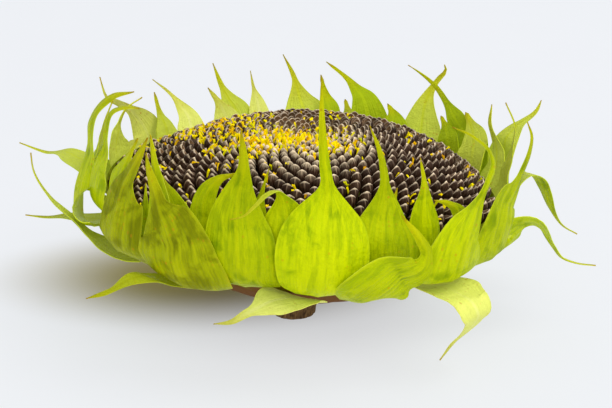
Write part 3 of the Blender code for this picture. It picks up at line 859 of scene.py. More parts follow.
@dataclass(frozen=True)
class FloorFinish:
    """Plain pale light table with hardly any texture: part of its brightness is its own glow, which fades
    under the head as painted shadow.
    """

    white: Colour = paint(120, 122, 126)
    grey: Colour = paint(117, 119, 124)
    painted_bounce: Colour = paint(166, 150, 74)              # painted bounce light from the bracts, in the first painted shadow
    glow: Colour = (0.96, 0.975, 1.0)
    glow_strength: float = 0.71
    roughness: float = 0.9
    specular: float = 0.1
    # painted shadows under the head: a dark one to the left and back, and a light wide one
    shade: PaintedShadow = PaintedShadow((-38.0, 32.0), (84.0, 52.0), 0.05)
    wide_shade: PaintedShadow = PaintedShadow((-4.0, 4.0), (95.0, 52.0), 0.84)

    def material(self) -> bpy.types.Material:
        """Builds the material on object coordinates; the glow fades out toward the head in two painted
        shadows, and the first is tinted with painted bounce light.
        """
        made, graph = new_material("pale_floor")
        cloud = graph.noise(graph.millimetres(), 0.02, detail=2.0)
        shader = made.node_tree.nodes["Principled BSDF"]
        shader.inputs["Roughness"].default_value = self.roughness
        shader.inputs["Specular IOR Level"].default_value = self.specular
        shader.inputs["Emission Strength"].default_value = self.glow_strength
        # Painted shadow: the glow fades in both patches, and in the first the base colour turns to the
        # painted bounce light.
        lit = self.shade.mask(graph)
        clear = graph.times(lit, self.wide_shade.mask(graph))
        table = graph.mix(cloud, self.white, self.grey)
        graph.feed(shader.inputs["Base Color"], graph.mix(lit, self.painted_bounce, table))
        graph.feed(shader.inputs["Emission Color"], graph.mix(clear, (0.0, 0.0, 0.0), self.glow))
        return made


@dataclass(frozen=True)
class SeedFace:
    """The seeds, each with its scale, in the golden spiral over the dome. Sizes in millimetres."""

    head: HeadSpace
    edge_out: float = 73.2
    golden_angle: float = 137.50776
    spiral_way: int = -1
    first_turn: float = 20.0
    room_middle: float = 6.0       # square millimetres of dome for each seed
    room_edge: float = 20.5
    room_settles: float = 42.0     # distance from the axis where seeds reach full size
    length: float = 7.2
    sunk: float = 1.6              # the seeds' own ends lie this far below their scales' tips
    scale_length: float = 6.4
    fill: float = 0.47             # half width of a seed as a share of the pitch
    oval: float = 0.86             # its depth as a share of its width
    young_out: float = 36.0
    ring_heights: tuple[float, ...] = (-1.0, -0.62, -0.34, -0.14, -0.03)    # shares of the length
    ring_widths: tuple[float, ...] = (0.42, 0.84, 1.0, 0.88, 0.48)          # shares of the half width
    uneven_height: float = 0.25    # spreads of the seeds' heights, sizes and tilts
    uneven_size: float = 0.035
    uneven_tilt: float = 0.05
    scale_turns: tuple[float, ...] = (-118.0, -80.0, -38.0, 0.0, 38.0, 80.0, 118.0)
    scale_slants: tuple[float, ...] = (0.0, 0.0, 32.0, 62.0, 90.0)
    scale_rows: tuple[float, ...] = (0.0, 0.45, 0.68, 0.86, 1.0)
    skins: tuple[float, float] = (0.20, -0.02)     # how far a scale's faces stand off the seed
    # At 0, 38, 80 and 118 degrees from the keel: the rim's place as shares of the half width, how
    # far it falls below the tip, and the height over which the wall closes
    rim_out: tuple[float, ...] = (-0.15, -0.12, -0.16, -0.47)
    rim_side: tuple[float, ...] = (0.0, 0.40, 0.84, 0.90)
    rim_fall: tuple[float, ...] = (0.0, 0.22, 1.15, 3.2)
    closing: tuple[float, ...] = (2.4, 2.3, 1.5, 0.4)
    uneven_tip: float = 0.18
    spiral_steps: int = 800
    random_seed: int = 11

    def spiral(self) -> tuple[Array, Array, Array]:
        """Places the seeds.

        Seed n stands n golden angles round. The number of seeds within a distance is the dome's
        area within it over the room of one seed, which is read backwards to find the distance.

        Returns:
            Turn, distance from the axis and pitch of each seed, from the middle outward.
        """
        out = np.linspace(0.0, self.edge_out, self.spiral_steps)
        slope = np.gradient(self.head.dome_up(out, 15.0), out)
        settled = smoothstep(out, 0.0, self.room_settles)
        room = self.room_middle + (self.room_edge - self.room_middle) * settled
        rate = 2.0 * np.pi * out * np.sqrt(1.0 + slope**2) / room
        count = np.concatenate([[0.0], np.cumsum((rate[1:] + rate[:-1]) / 2.0 * np.diff(out))])
        number = np.arange(int(count[-1]))
        outs = np.interp(number + 0.5, count, out)
        turns = self.first_turn + self.spiral_way * self.golden_angle * number
        return turns, outs, np.sqrt(np.interp(outs, out, room))

    def youth(self, out: Array, turn: Array) -> Array:
        """How unripe a seed is: 1 in the middle, 0 from young_out on, farther at the front left."""
        reach = self.young_out * (1.0 + 0.25 * np.cos(np.radians(turn + 20.0)))
        return 1.0 - smoothstep(out, 0.45 * reach, reach)

    def build(self, effects: Effects) -> None:
        """Adds the seeds and their scales."""
        rng = np.random.default_rng(self.random_seed)
        turns, outs, pitch = self.spiral()
        count = len(turns)
        lift = rng.normal(0.0, self.uneven_height, count)
        stand = self.head.on_dome(turns, outs, -lift).tipped(rng, self.uneven_tilt)
        size = pitch * rng.normal(1.0, self.uneven_size, count)
        tint = rng.uniform(0.0, 1.0, count)
        young = self.youth(outs, turns)
        own = {"tint": tint, "young": young}
        seeds = self.seeds(stand, size, own)
        scales = self.scales(stand, size, own, rng)
        add_piece(seeds, "ripe_seeds", SeedFinish().material(effects), "seed", "seed_disc")
        add_piece(scales, "seed_scales", ScaleFinish().material(effects), "seed")
        log.info("%d seeds", count)

    def seeds(self, stand: Stand, size: Array, own: dict[str, Array]) -> Surface:
        """Rounded bullets with a wedge foot: rings of eight points and a blunt tip.

        A ring's point is (half * width * cos, oval * half * width * sin, height), with the width
        growing from the foot to the shoulder and closing over the top.
        """
        sides = 8
        heights = np.array(self.ring_heights)
        widths = np.array(self.ring_widths)
        angle = np.arange(sides) * 2.0 * np.pi / sides
        half = self.fill * size[:, None, None]
        wide = np.broadcast_to(widths[None, :, None], (len(size), len(widths), sides))
        local = np.stack([
            half * wide * np.cos(angle),
            self.oval * half * wide * np.sin(angle),
            np.broadcast_to(self.length * heights[None, :, None] - self.sunk, wide.shape),
        ], -1).reshape(len(size), -1, 3)
        tips = np.broadcast_to([0.0, 0.0, -self.sunk], (len(size), 1, 3))
        local = np.concatenate([local, tips], axis=1)
        same = {
            "rise": np.append(np.repeat(1.0 + heights, sides), 1.0),
            "around": np.append(np.tile(np.arange(sides) * 1.0, len(heights)), 0.0),
        }
        return stand.copies(local, tube_faces(len(heights), sides, tip=True), same, own)

    def scales(self, stand: Stand, size: Array, own: dict[str, Array],
               rng: np.random.Generator) -> Surface:
        """Pointed hoods that hug the outward side of each seed and close over its end.

        At an angle from the outward direction, a hood's wall rises beside the seed to a shoulder.
        From there it runs along a quarter of an ellipse to the rim: outward it is the wall's
        distance times the cosine of the slant plus the rim's times one minus that cosine, and
        upward the closing height times its sine. The rim is highest at the keel.
        """
        degrees = np.array(self.scale_turns)
        slant = np.radians(self.scale_slants)
        angle = np.radians(degrees)
        aside = np.abs(degrees)
        widest = aside[0]
        half_turns = aside[len(aside) // 2:]
        rim_out, rim_side, rim_fall, closing = (
            np.interp(aside, half_turns, heights)
            for heights in (self.rim_out, self.rim_side, self.rim_fall, self.closing))
        rim_side = np.sign(degrees) * rim_side
        tip_height = (0.1 + 0.5 * own["young"] + rng.normal(0.0, self.uneven_tip, len(size)))[:, None, None]
        shoulder = tip_height - (rim_fall + closing)
        turned = 1.0 - np.cos(slant)[:, None]
        lifted = np.sin(slant)[:, None]
        height = shoulder + closing * lifted
        height[:, 0] = -self.scale_length
        half = self.fill * size[:, None, None]
        keel = bell(degrees, 0.0, 20.0)
        grids = []
        for skin in self.skins:
            wall = 1.02 * half + skin + 0.08 * keel
            inward = (half * rim_out, half * rim_side)
            grids.append(np.stack([
                wall * np.cos(angle) * (1.0 - turned) + inward[0] * turned,
                0.92 * wall * np.sin(angle) * (1.0 - turned) + inward[1] * turned,
                height + (skin - self.skins[0] + 0.1 * keel) * lifted,
            ], -1).reshape(len(size), -1, 3))
        rows = np.array(self.scale_rows)
        same = {
            "rise": np.tile(np.repeat(rows, len(degrees)), 2),
            "keel": np.tile(degrees == 0.0, 2 * len(rows)) * 1.0,
            "around": np.tile(degrees / widest, 2 * len(rows)),
            "inner": np.repeat([0.0, 1.0], len(rows) * len(degrees)),
        }
        return stand.copies(np.concatenate(grids, axis=1), sheet_faces(len(rows), len(degrees)), same, own)


@dataclass(frozen=True)
class Cloud:
    """One patch of the face where florets are thick: middle and reach, in millimetres."""

    right: float
    back: float
    wide: float
    deep: float
    share: float


@dataclass(frozen=True)
class Florets:
    """Dried flower tubes, still thick in the middle and at the back left, sparse elsewhere."""

    head: HeadSpace
    clouds: tuple[Cloud, ...] = (
        Cloud(-8.0, -4.0, 20.0, 14.0, 1.0),
        Cloud(10.0, -14.0, 6.0, 7.0, 0.8),
        Cloud(-33.0, 21.0, 17.0, 15.0, 0.36),
    )
    bare: Cloud = Cloud(-4.0, 13.0, 8.5, 11.0, 0.97)
    thin: float = 0.022
    tries: int = 11000
    length: float = 3.3
    mouth: float = 0.56
    edge_out: float = 70.0
    sunk: float = 2.2
    tilt: float = 0.45             # spread of the tilt, as a slope
    sides: int = 6
    ring_shares: tuple[float, ...] = (0.0, 0.35, 0.75, 1.0)     # of the length
    ring_radii: tuple[float, ...] = (0.55, 0.62, 0.85, 1.0)     # shares of the mouth's
    teeth: tuple[float, float] = (0.12, -0.1)                   # of the ragged mouth, high and low
    throat: tuple[float, float] = (0.6, 0.78)                   # its point: shares of bend and length
    random_seed: int = 23

    def thickness(self, turn: Array, out: Array) -> Array:
        """Share of places that carry a floret: the clouds' bell curves over a thin rest."""
        right = out * np.sin(np.radians(turn))
        back = -out * np.cos(np.radians(turn))
        total = np.full_like(out, self.thin)
        for cloud in self.clouds:
            near = bell(right, cloud.right, cloud.wide) * bell(back, cloud.back, cloud.deep)
            total = np.maximum(total, cloud.share * near)
        bare = self.bare
        emptied = bell(right, bare.right, bare.wide) * bell(back, bare.back, bare.deep)
        return total * (1.0 - bare.share * emptied)

    def build(self, effects: Effects) -> None:
        """Adds the florets as one piece of six-sided bent tubes with a ragged mouth.

        A ring's point is (radius * cos + bend * share^2, radius * sin, length * share). The last
        ring's points stand alternately high and low, and the mouth closes at a sunken point.
        """
        rng = np.random.default_rng(self.random_seed)
        out = self.edge_out * np.sqrt(rng.uniform(size=self.tries))
        turn = rng.uniform(0.0, 360.0, self.tries)
        kept = rng.uniform(size=self.tries) < self.thickness(turn, out)
        turn = turn[kept]
        out = out[kept]
        count = len(turn)
        crowd = self.thickness(turn, out)
        stand = self.head.on_dome(turn, out, self.sunk).tipped(rng, self.tilt)
        sides = self.sides
        shares = np.array(self.ring_shares)
        radii = np.array(self.ring_radii)
        length = self.length * rng.uniform(0.6, 1.15, count) * (0.75 + 0.35 * crowd)
        width = self.mouth * rng.uniform(0.6, 1.25, count)
        bend = rng.normal(0.0, 1.0, count)
        angle = np.arange(sides) * 2.0 * np.pi / sides
        ragged = np.where(np.arange(sides) % 2 == 0, *self.teeth)
        rise = shares[:, None] + np.where(shares[:, None] == 1.0, ragged, 0.0)
        local = np.stack([
            width[:, None, None] * radii[:, None] * np.cos(angle) + (bend[:, None] * shares**2)[:, :, None],
            width[:, None, None] * radii[:, None] * np.sin(angle),
            length[:, None, None] * rise,
        ], -1).reshape(count, -1, 3)
        throat = np.stack([bend * self.throat[0], np.zeros(count), length * self.throat[1]], -1)[:, None]
        local = np.concatenate([local, throat], axis=1)
        same = {"rise": np.append(np.repeat(shares, sides), 0.9)}
        own = {"tint": rng.uniform(0.0, 1.0, count)}
        surface = stand.copies(local, tube_faces(len(shares), sides, tip=True), same, own)
        add_piece(surface, "dried_florets", FloretFinish().material(effects), "floret")
        log.info("%d florets", count)


@dataclass(frozen=True)
class Bract:
    """One bract: widest width, outline and middle line from foot to tip, in millimetres.

    neck is the share of the length where the thin tail begins, cup how much the edges lift toward
    the seeds per millimetre, and the rolls are degrees at the foot and at the tip. foot and tail
    are the widths at the foot and at the neck as shares of the widest, round_end the share of the
    length over which the foot widens, and shoulder says how suddenly the blade narrows.
    """

    name: str
    width: float
    neck: float
    cup: float
    line: list[Place]
    shade: Shade = Shade.FRESH
    roll_foot: float = 0.0
    roll_tip: float = 0.0
    foot: float = 0.78
    round_end: float = 0.22
    shoulder: float = 3.0
    tail: float = 0.13


BRACTS = [
    # Front wall, left to right
    Bract("middle_01", 27, 0.7, 0.004, [
        (-54, 75, 38), (-52, 82.5, 45.5), (-51.5, 83, 53), (-53, 81, 60.5), (-52.5, 79, 67),
        (-49.5, 78, 75), (-47, 76, 84.5)], Shade.OLIVE, foot=1.15, shoulder=5.0, tail=0.24),
    Bract("inner_01", 15, 0.97, 0.006, [
        (-65, 75, 48), (-62, 76.6, 58), (-59.5, 77, 64), (-55, 76, 75), (-52.5, 75, 82)],
        shoulder=2.4, tail=0.08),
    Bract("inner_02", 10, 0.97, 0.004, [
        (-46, 75, 47.5), (-46, 77, 55), (-46, 77, 62), (-47, 76, 68)], Shade.PAINTED_SHADE, shoulder=2.4, tail=0.05),
    Bract("middle_02", 14, 0.88, 0.004, [
        (-38, 77.2, 47.5), (-38, 80.2, 60), (-39, 80, 67.5), (-42, 78.5, 78.5), (-45, 77, 86.5)],
        shoulder=2.6, tail=0.16),
    Bract("inner_03", 16, 0.96, 0.004, [
        (-32, 75, 47.5), (-35, 76.5, 60), (-37, 76.5, 65), (-42.5, 75, 73)], shoulder=3.6),
    Bract("outer_01", 33, 0.73, 0.003, [
        (-29.5, 72, 37), (-28, 83, 42.5), (-29.5, 86, 49), (-30.5, 87, 54.5), (-32, 87, 60),
        (-34.5, 86, 64.5), (-37, 84, 69), (-40, 82, 73), (-43, 80, 76.5), (-45.5, 78, 80)],
        Shade.OLIVE, foot=0.6, round_end=0.25, shoulder=8.0, tail=0.16),
    Bract("middle_03", 13, 0.98, 0.004, [
        (-25, 76.5, 45.5), (-25, 79, 58), (-25.5, 79.3, 65), (-25.5, 79, 70.5), (-21.5, 79, 79),
        (-17.5, 79, 81.5)], shoulder=3.6, tail=0.1),
    Bract("outer_02", 27, 0.85, 0.003, [
        (-15, 72, 39.5), (-14.5, 82, 49), (-15, 84, 58.5), (-16, 83, 66.5), (-16, 82, 74),
        (-15.5, 80.5, 84), (-17, 79, 97)], roll_foot=-4, roll_tip=-4, foot=0.9, shoulder=3.8, tail=0.12),
    Bract("inner_04", 11, 0.9, 0.004, [
        (-11.5, 75, 47.5), (-11.5, 77, 62), (-11.5, 77, 73), (-10, 76, 84)], shoulder=2.4, tail=0.08),
    Bract("middle_04", 18, 0.61, 0.004, [
        (-3.5, 76.3, 46.5), (-4, 79, 58), (-4.5, 80, 68), (-5.5, 80.8, 75), (-7, 83, 79),
        (-9, 87, 78.5), (-11, 89, 75), (-13.5, 90, 71), (-16, 90, 69.5)],
        foot=0.6, shoulder=5.5, tail=0.12),
    Bract("outer_03", 34, 0.6, 0.002, [
        (4.5, 72, 38.5), (4.5, 83.4, 47.5), (4.5, 84.5, 59), (4.5, 82.9, 71.5), (4.5, 80, 81.5),
        (3.5, 78, 89.5), (2.5, 76, 100.5), (1.5, 73, 116)],
        foot=0.42, round_end=0.3, shoulder=6.2, tail=0.12),
    Bract("middle_05", 28, 0.69, 0.003, [
        (21, 74, 43), (19.5, 79.6, 53.5), (18.5, 82, 62.5), (18.5, 81.5, 75.5), (18, 81, 85),
        (16.5, 80, 93.5), (14, 78, 101.5)], shoulder=3.8, tail=0.11),
    Bract("inner_05", 10, 0.9, 0.004, [
        (22, 75.8, 49), (22, 76.3, 60), (22.5, 76.7, 72), (23.5, 76, 78.5)], shoulder=2.4),
    Bract("inner_06", 15, 0.88, 0.004, [
        (34, 75, 47.5), (32.5, 77, 60.5), (31, 78, 69.5), (30.5, 77.8, 80), (29.5, 76, 88.5)],
        shoulder=3.2, tail=0.09),
    Bract("outer_04", 30, 0.7, 0.004, [
        (14, 74, 37.5), (17, 85.5, 46), (22, 88.5, 51), (27, 89.5, 55), (28, 88.5, 59),
        (26.5, 87.5, 63.5), (22, 85, 72)], foot=0.3, round_end=0.45, shoulder=5.0, tail=0.16),
    Bract("inner_07", 9, 0.8, 0.004, [
        (48, 75, 47.5), (47, 77, 57), (43.5, 78, 66), (38, 79, 71.5), (33.5, 79, 73.5)],
        shoulder=4.0, tail=0.25),
    Bract("outer_05", 31, 0.54, 0.003, [
        (42, 73, 40), (40, 82, 46.5), (39.5, 84, 53.5), (40.5, 84.5, 60.5), (43.5, 84, 66.5),
        (46.5, 83.5, 72.5), (49.5, 83, 78), (53, 81, 82.5), (54.5, 77, 86.5), (52.5, 73, 90),
        (44.5, 70, 95)], foot=0.6, round_end=0.25, shoulder=3.4, tail=0.1),
    # Hanging bracts at the front and the sides
    Bract("hanging_01", 18, 0.82, 0.004, [
        (-38, 62, 30.5), (-38.5, 72, 33), (-38.5, 80, 36), (-38.5, 86, 39), (-39.5, 91, 39),
        (-41.5, 98, 35.5), (-46.5, 101, 30.5)], Shade.OLIVE, foot=0.9, shoulder=3.4, tail=0.12),
    Bract("hanging_02", 20, 0.7, 0.004, [
        (6, 64, 32.6), (0.5, 69, 35.4), (-4, 74, 36.9), (-7.5, 78, 36.8), (-9.8, 81, 35.6),
        (-12.5, 83, 33.6), (-15.5, 83.5, 30.2), (-20, 83.5, 28)],
        Shade.PALE_AND_PAINTED_BACKLIGHT, roll_foot=10, roll_tip=0, foot=0.5, round_end=0.35, shoulder=4.6, tail=0.16),
    Bract("hanging_03", 23, 0.6, 0.006, [
        (46, 66, 35), (44.5, 74, 36.5), (42.5, 83, 37.5), (42, 90, 37), (43.5, 91, 33), (46, 87, 26.5),
        (48.5, 81, 19.5), (48.5, 77, 14.5), (50, 70.5, 4.3)],
        Shade.PALE_AND_PAINTED_BACKLIGHT, foot=0.7, shoulder=3.4, tail=0.36),
    Bract("hanging_04", 23, 0.95, 0.010, [
        (-58, 66, 33), (-62, 70, 33), (-65, 74, 33.5), (-68, 78, 34.8), (-71, 82.5, 37.5),
        (-74, 87, 41.5), (-78, 95.5, 48.5), (-81, 101.5, 57.5), (-82, 102.5, 63.5)],
        foot=0.45, shoulder=2.2, tail=0.1),
    Bract("hanging_05", 16, 0.86, 0.010, [
        (-94.5, 64, 33), (-96, 79, 30), (-97, 92.5, 29.5), (-98, 101, 27.5), (-98, 109, 27.5)],
        shoulder=2.8),
    Bract("hanging_06", 27, 0.7, 0.006, [
        (-101, 72, 40), (-102, 80, 45), (-103, 89.5, 50), (-105, 96.5, 51), (-108, 109, 48),
        (-108, 120, 50)], shoulder=2.8),
    Bract("hanging_07", 25, 0.7, 0.008, [
        (74, 70, 35.5), (75, 77.5, 41), (76, 82, 45.5), (77, 84.5, 48.5), (78, 88.5, 50), (79, 92, 48),
        (80, 96, 42), (80, 100.5, 37), (80, 106, 35.5), (80, 113.5, 35.5)],
        roll_foot=28, roll_tip=10, foot=0.45, shoulder=4.2, tail=0.28),
    Bract("hanging_08", 16, 0.86, 0.008, [
        (100.3, 77, 42), (100, 85, 52), (100.2, 87.5, 56), (100, 90, 58), (100, 93, 57),
        (100, 97, 51.5), (100, 101, 43.5), (100, 106, 37), (100, 113, 33)],
        roll_foot=14, roll_tip=10, foot=0.55, shoulder=2.8, tail=0.24),
    # Left wall
    Bract("outer_06", 28, 0.69, 0.006, [
        (-77, 75, 38), (-81, 82.3, 40.2), (-85, 83.5, 46), (-86, 82.5, 57), (-86, 81.5, 64.5),
        (-85, 81, 71.5), (-83.5, 78.5, 80), (-81, 73.5, 86), (-76, 66, 90)],
        roll_foot=-8, roll_tip=-20, foot=1.4, round_end=0.35, shoulder=3.6, tail=0.2),
    Bract("middle_06", 29, 0.7, 0.003, [
        (-75, 74, 43), (-77, 78.6, 50), (-78.5, 78.4, 58), (-78, 76, 68), (-77, 76, 75),
        (-75, 74, 82.5), (-72, 69.5, 85.5), (-68, 66, 86.5)],
        foot=1.3, round_end=0.4, shoulder=3.6, tail=0.16),
    Bract("middle_07", 22, 0.78, 0.005, [
        (-97, 75.5, 44.5), (-98, 81, 52), (-97.5, 79, 64), (-96, 77.5, 70), (-96, 74.5, 79)],
        foot=1.2, shoulder=4.0, tail=0.16),
    Bract("inner_08", 21, 0.66, 0.005, [
        (-106.6, 76, 48), (-107.6, 77.4, 60), (-112, 77, 69), (-118, 74, 73)], shoulder=4.0),
    # Right wall
    Bract("middle_08", 24, 0.68, 0.005, [
        (61, 75, 41), (57.5, 81, 47), (57, 83, 54), (56.5, 84.5, 61), (57.5, 85, 67), (60.5, 85.5, 72),
        (62, 86.5, 77.5), (62.5, 88, 84.5), (62, 88.5, 91), (60.5, 87, 96.5)],
        roll_foot=4, roll_tip=10, foot=1.3, shoulder=5.0, tail=0.18),
    Bract("inner_09", 15, 0.72, 0.005, [
        (96, 75, 47.5), (98, 79.5, 54), (99, 80, 59.5), (101, 82.5, 70.5), (103, 83.5, 75.5),
        (105, 79.5, 85)], roll_foot=2, roll_tip=30, shoulder=3.8, tail=0.22),
    Bract("inner_10", 15, 0.76, 0.005, [
        (108, 77, 46.5), (110.5, 82.5, 57), (112.5, 83.8, 62), (116, 82, 72.5), (118, 84, 78.5)],
        shoulder=3.8, tail=0.18),
    # Back wall, right to left
    Bract("outer_07", 22, 0.68, 0.006, [
        (111.5, 75, 38), (113.3, 83.5, 48.5), (114.7, 87.8, 57.5), (115.5, 91, 65), (116, 94.5, 68.5),
        (118, 106.5, 74), (120, 111.5, 77)], shoulder=3.8, tail=0.18),
    Bract("middle_09", 22, 0.72, 0.005, [
        (121, 75, 42.5), (122, 81, 49.5), (125.5, 85, 58), (130, 86.5, 62), (133.5, 86.5, 65.5),
        (137, 88, 69), (143, 90, 75.5), (149.5, 91, 80), (152, 91, 81.5)],
        Shade.PAINTED_SHADE, shoulder=3.1, tail=0.12),
    Bract("inner_11", 17, 0.95, 0.005, [
        (116, 75, 48), (118.5, 77.6, 58), (121.5, 81, 62.5), (126, 84.3, 66), (130.5, 87, 69.5)],
        shoulder=2.6),
    Bract("inner_12", 13, 0.95, 0.005, [
        (127, 75, 47.5), (130.5, 78, 59), (134, 81, 63), (137, 83, 66)], Shade.PAINTED_SHADE, shoulder=2.6),
    Bract("outer_08", 26, 0.94, 0.004, [
        (142, 72, 39), (143.5, 82, 48), (144.5, 86, 55), (145.5, 89, 61.5), (146, 91.5, 66.5),
        (146, 94, 70.5), (145, 97, 76), (143.5, 98.5, 81.5), (144, 98.5, 83)],
        foot=1.1, shoulder=3.2, tail=0.09),
    Bract("inner_13", 16, 0.9, 0.005, [
        (150, 75, 47.5), (151, 78, 57.5), (152.5, 81, 62), (155, 83, 65.5)], Shade.PAINTED_SHADE, shoulder=3.2),
    Bract("middle_10", 24, 0.94, 0.005, [
        (160, 74, 43), (160, 80, 50), (160.5, 84, 55.5), (162, 87, 60.5), (164, 90, 64.5),
        (166.5, 93, 67), (168.5, 95, 69.5), (175, 98, 76)], Shade.PAINTED_SHADE, shoulder=1.9, tail=0.06),
    Bract("inner_14", 13, 0.95, 0.005, [
        (165, 75, 47.5), (165.5, 78, 53.5), (166.5, 81, 59), (168, 83, 64.5)], shoulder=2.6),
    Bract("middle_11", 11, 0.96, 0.005, [
        (172, 74, 43), (172.3, 79.6, 49.5), (172.5, 83.5, 54.5), (172.8, 86.5, 59), (174, 89.5, 62.5),
        (175, 91, 66.5), (176, 92.5, 71.5)], Shade.PAINTED_SHADE, shoulder=4.4, tail=0.14),
    Bract("outer_09", 36, 0.91, 0.005, [
        (-180, 72, 39), (-180, 82, 45), (-180, 87, 51), (-180, 90, 56), (-179, 92.5, 59.5),
        (-178, 95, 64), (-177, 97.5, 68.5), (-174, 100, 77.5)], shoulder=3.9, tail=0.06),
    Bract("inner_15", 10, 0.88, 0.005, [
        (-166, 75, 45), (-166.5, 79, 50), (-167, 83, 53.5), (-167, 87, 57.5), (-166, 94, 66),
        (-165.5, 96, 71)], Shade.PALE_AND_PAINTED_BACKLIGHT, shoulder=5.2, tail=0.13),
    Bract("middle_12", 17, 0.85, 0.005, [
        (-159.5, 74, 42), (-160.5, 80, 47.5), (-160.5, 84, 51.5), (-160.5, 87, 56), (-159, 90, 60),
        (-157.5, 93, 65), (-155.5, 97, 74.5)], shoulder=5.4, tail=0.14),
    Bract("inner_16", 15.5, 0.91, 0.005, [
        (-156, 75, 45), (-156.5, 78, 50), (-156.5, 82, 54), (-155.5, 85, 58.5), (-152, 88, 66.5)],
        Shade.PALE_AND_PAINTED_BACKLIGHT, shoulder=5.4, tail=0.14),
    Bract("middle_13", 15, 0.89, 0.005, [
        (-143.5, 74, 42), (-145, 79.5, 46), (-145.5, 83, 50), (-145.5, 86, 55), (-144, 89, 59.5),
        (-142, 91.5, 64), (-137, 94, 71)], Shade.PALE_AND_PAINTED_BACKLIGHT, shoulder=5.2, tail=0.09),
    Bract("inner_17", 13, 0.92, 0.005, [
        (-134, 75, 45.5), (-134.5, 78, 50.5), (-135, 81, 54.5), (-135, 84, 58), (-134, 87, 68)],
        shoulder=2.6),
    Bract("outer_10", 28, 0.72, 0.006, [
        (-124, 72, 38.5), (-128.5, 80, 43), (-130.5, 84, 47), (-131, 86, 51), (-129, 86.5, 56.5),
        (-124.5, 86, 63), (-118, 85.5, 68.5), (-112.5, 86, 73), (-112.5, 89, 80.5)],
        Shade.PALE_AND_PAINTED_BACKLIGHT, shoulder=3.8, tail=0.12),
]


# How much the lower part of a bract bulges outward, by layer
SWELLS = {"outer": 1.0, "middle": 0.6, "inner": 0.2, "hanging": 0.0}


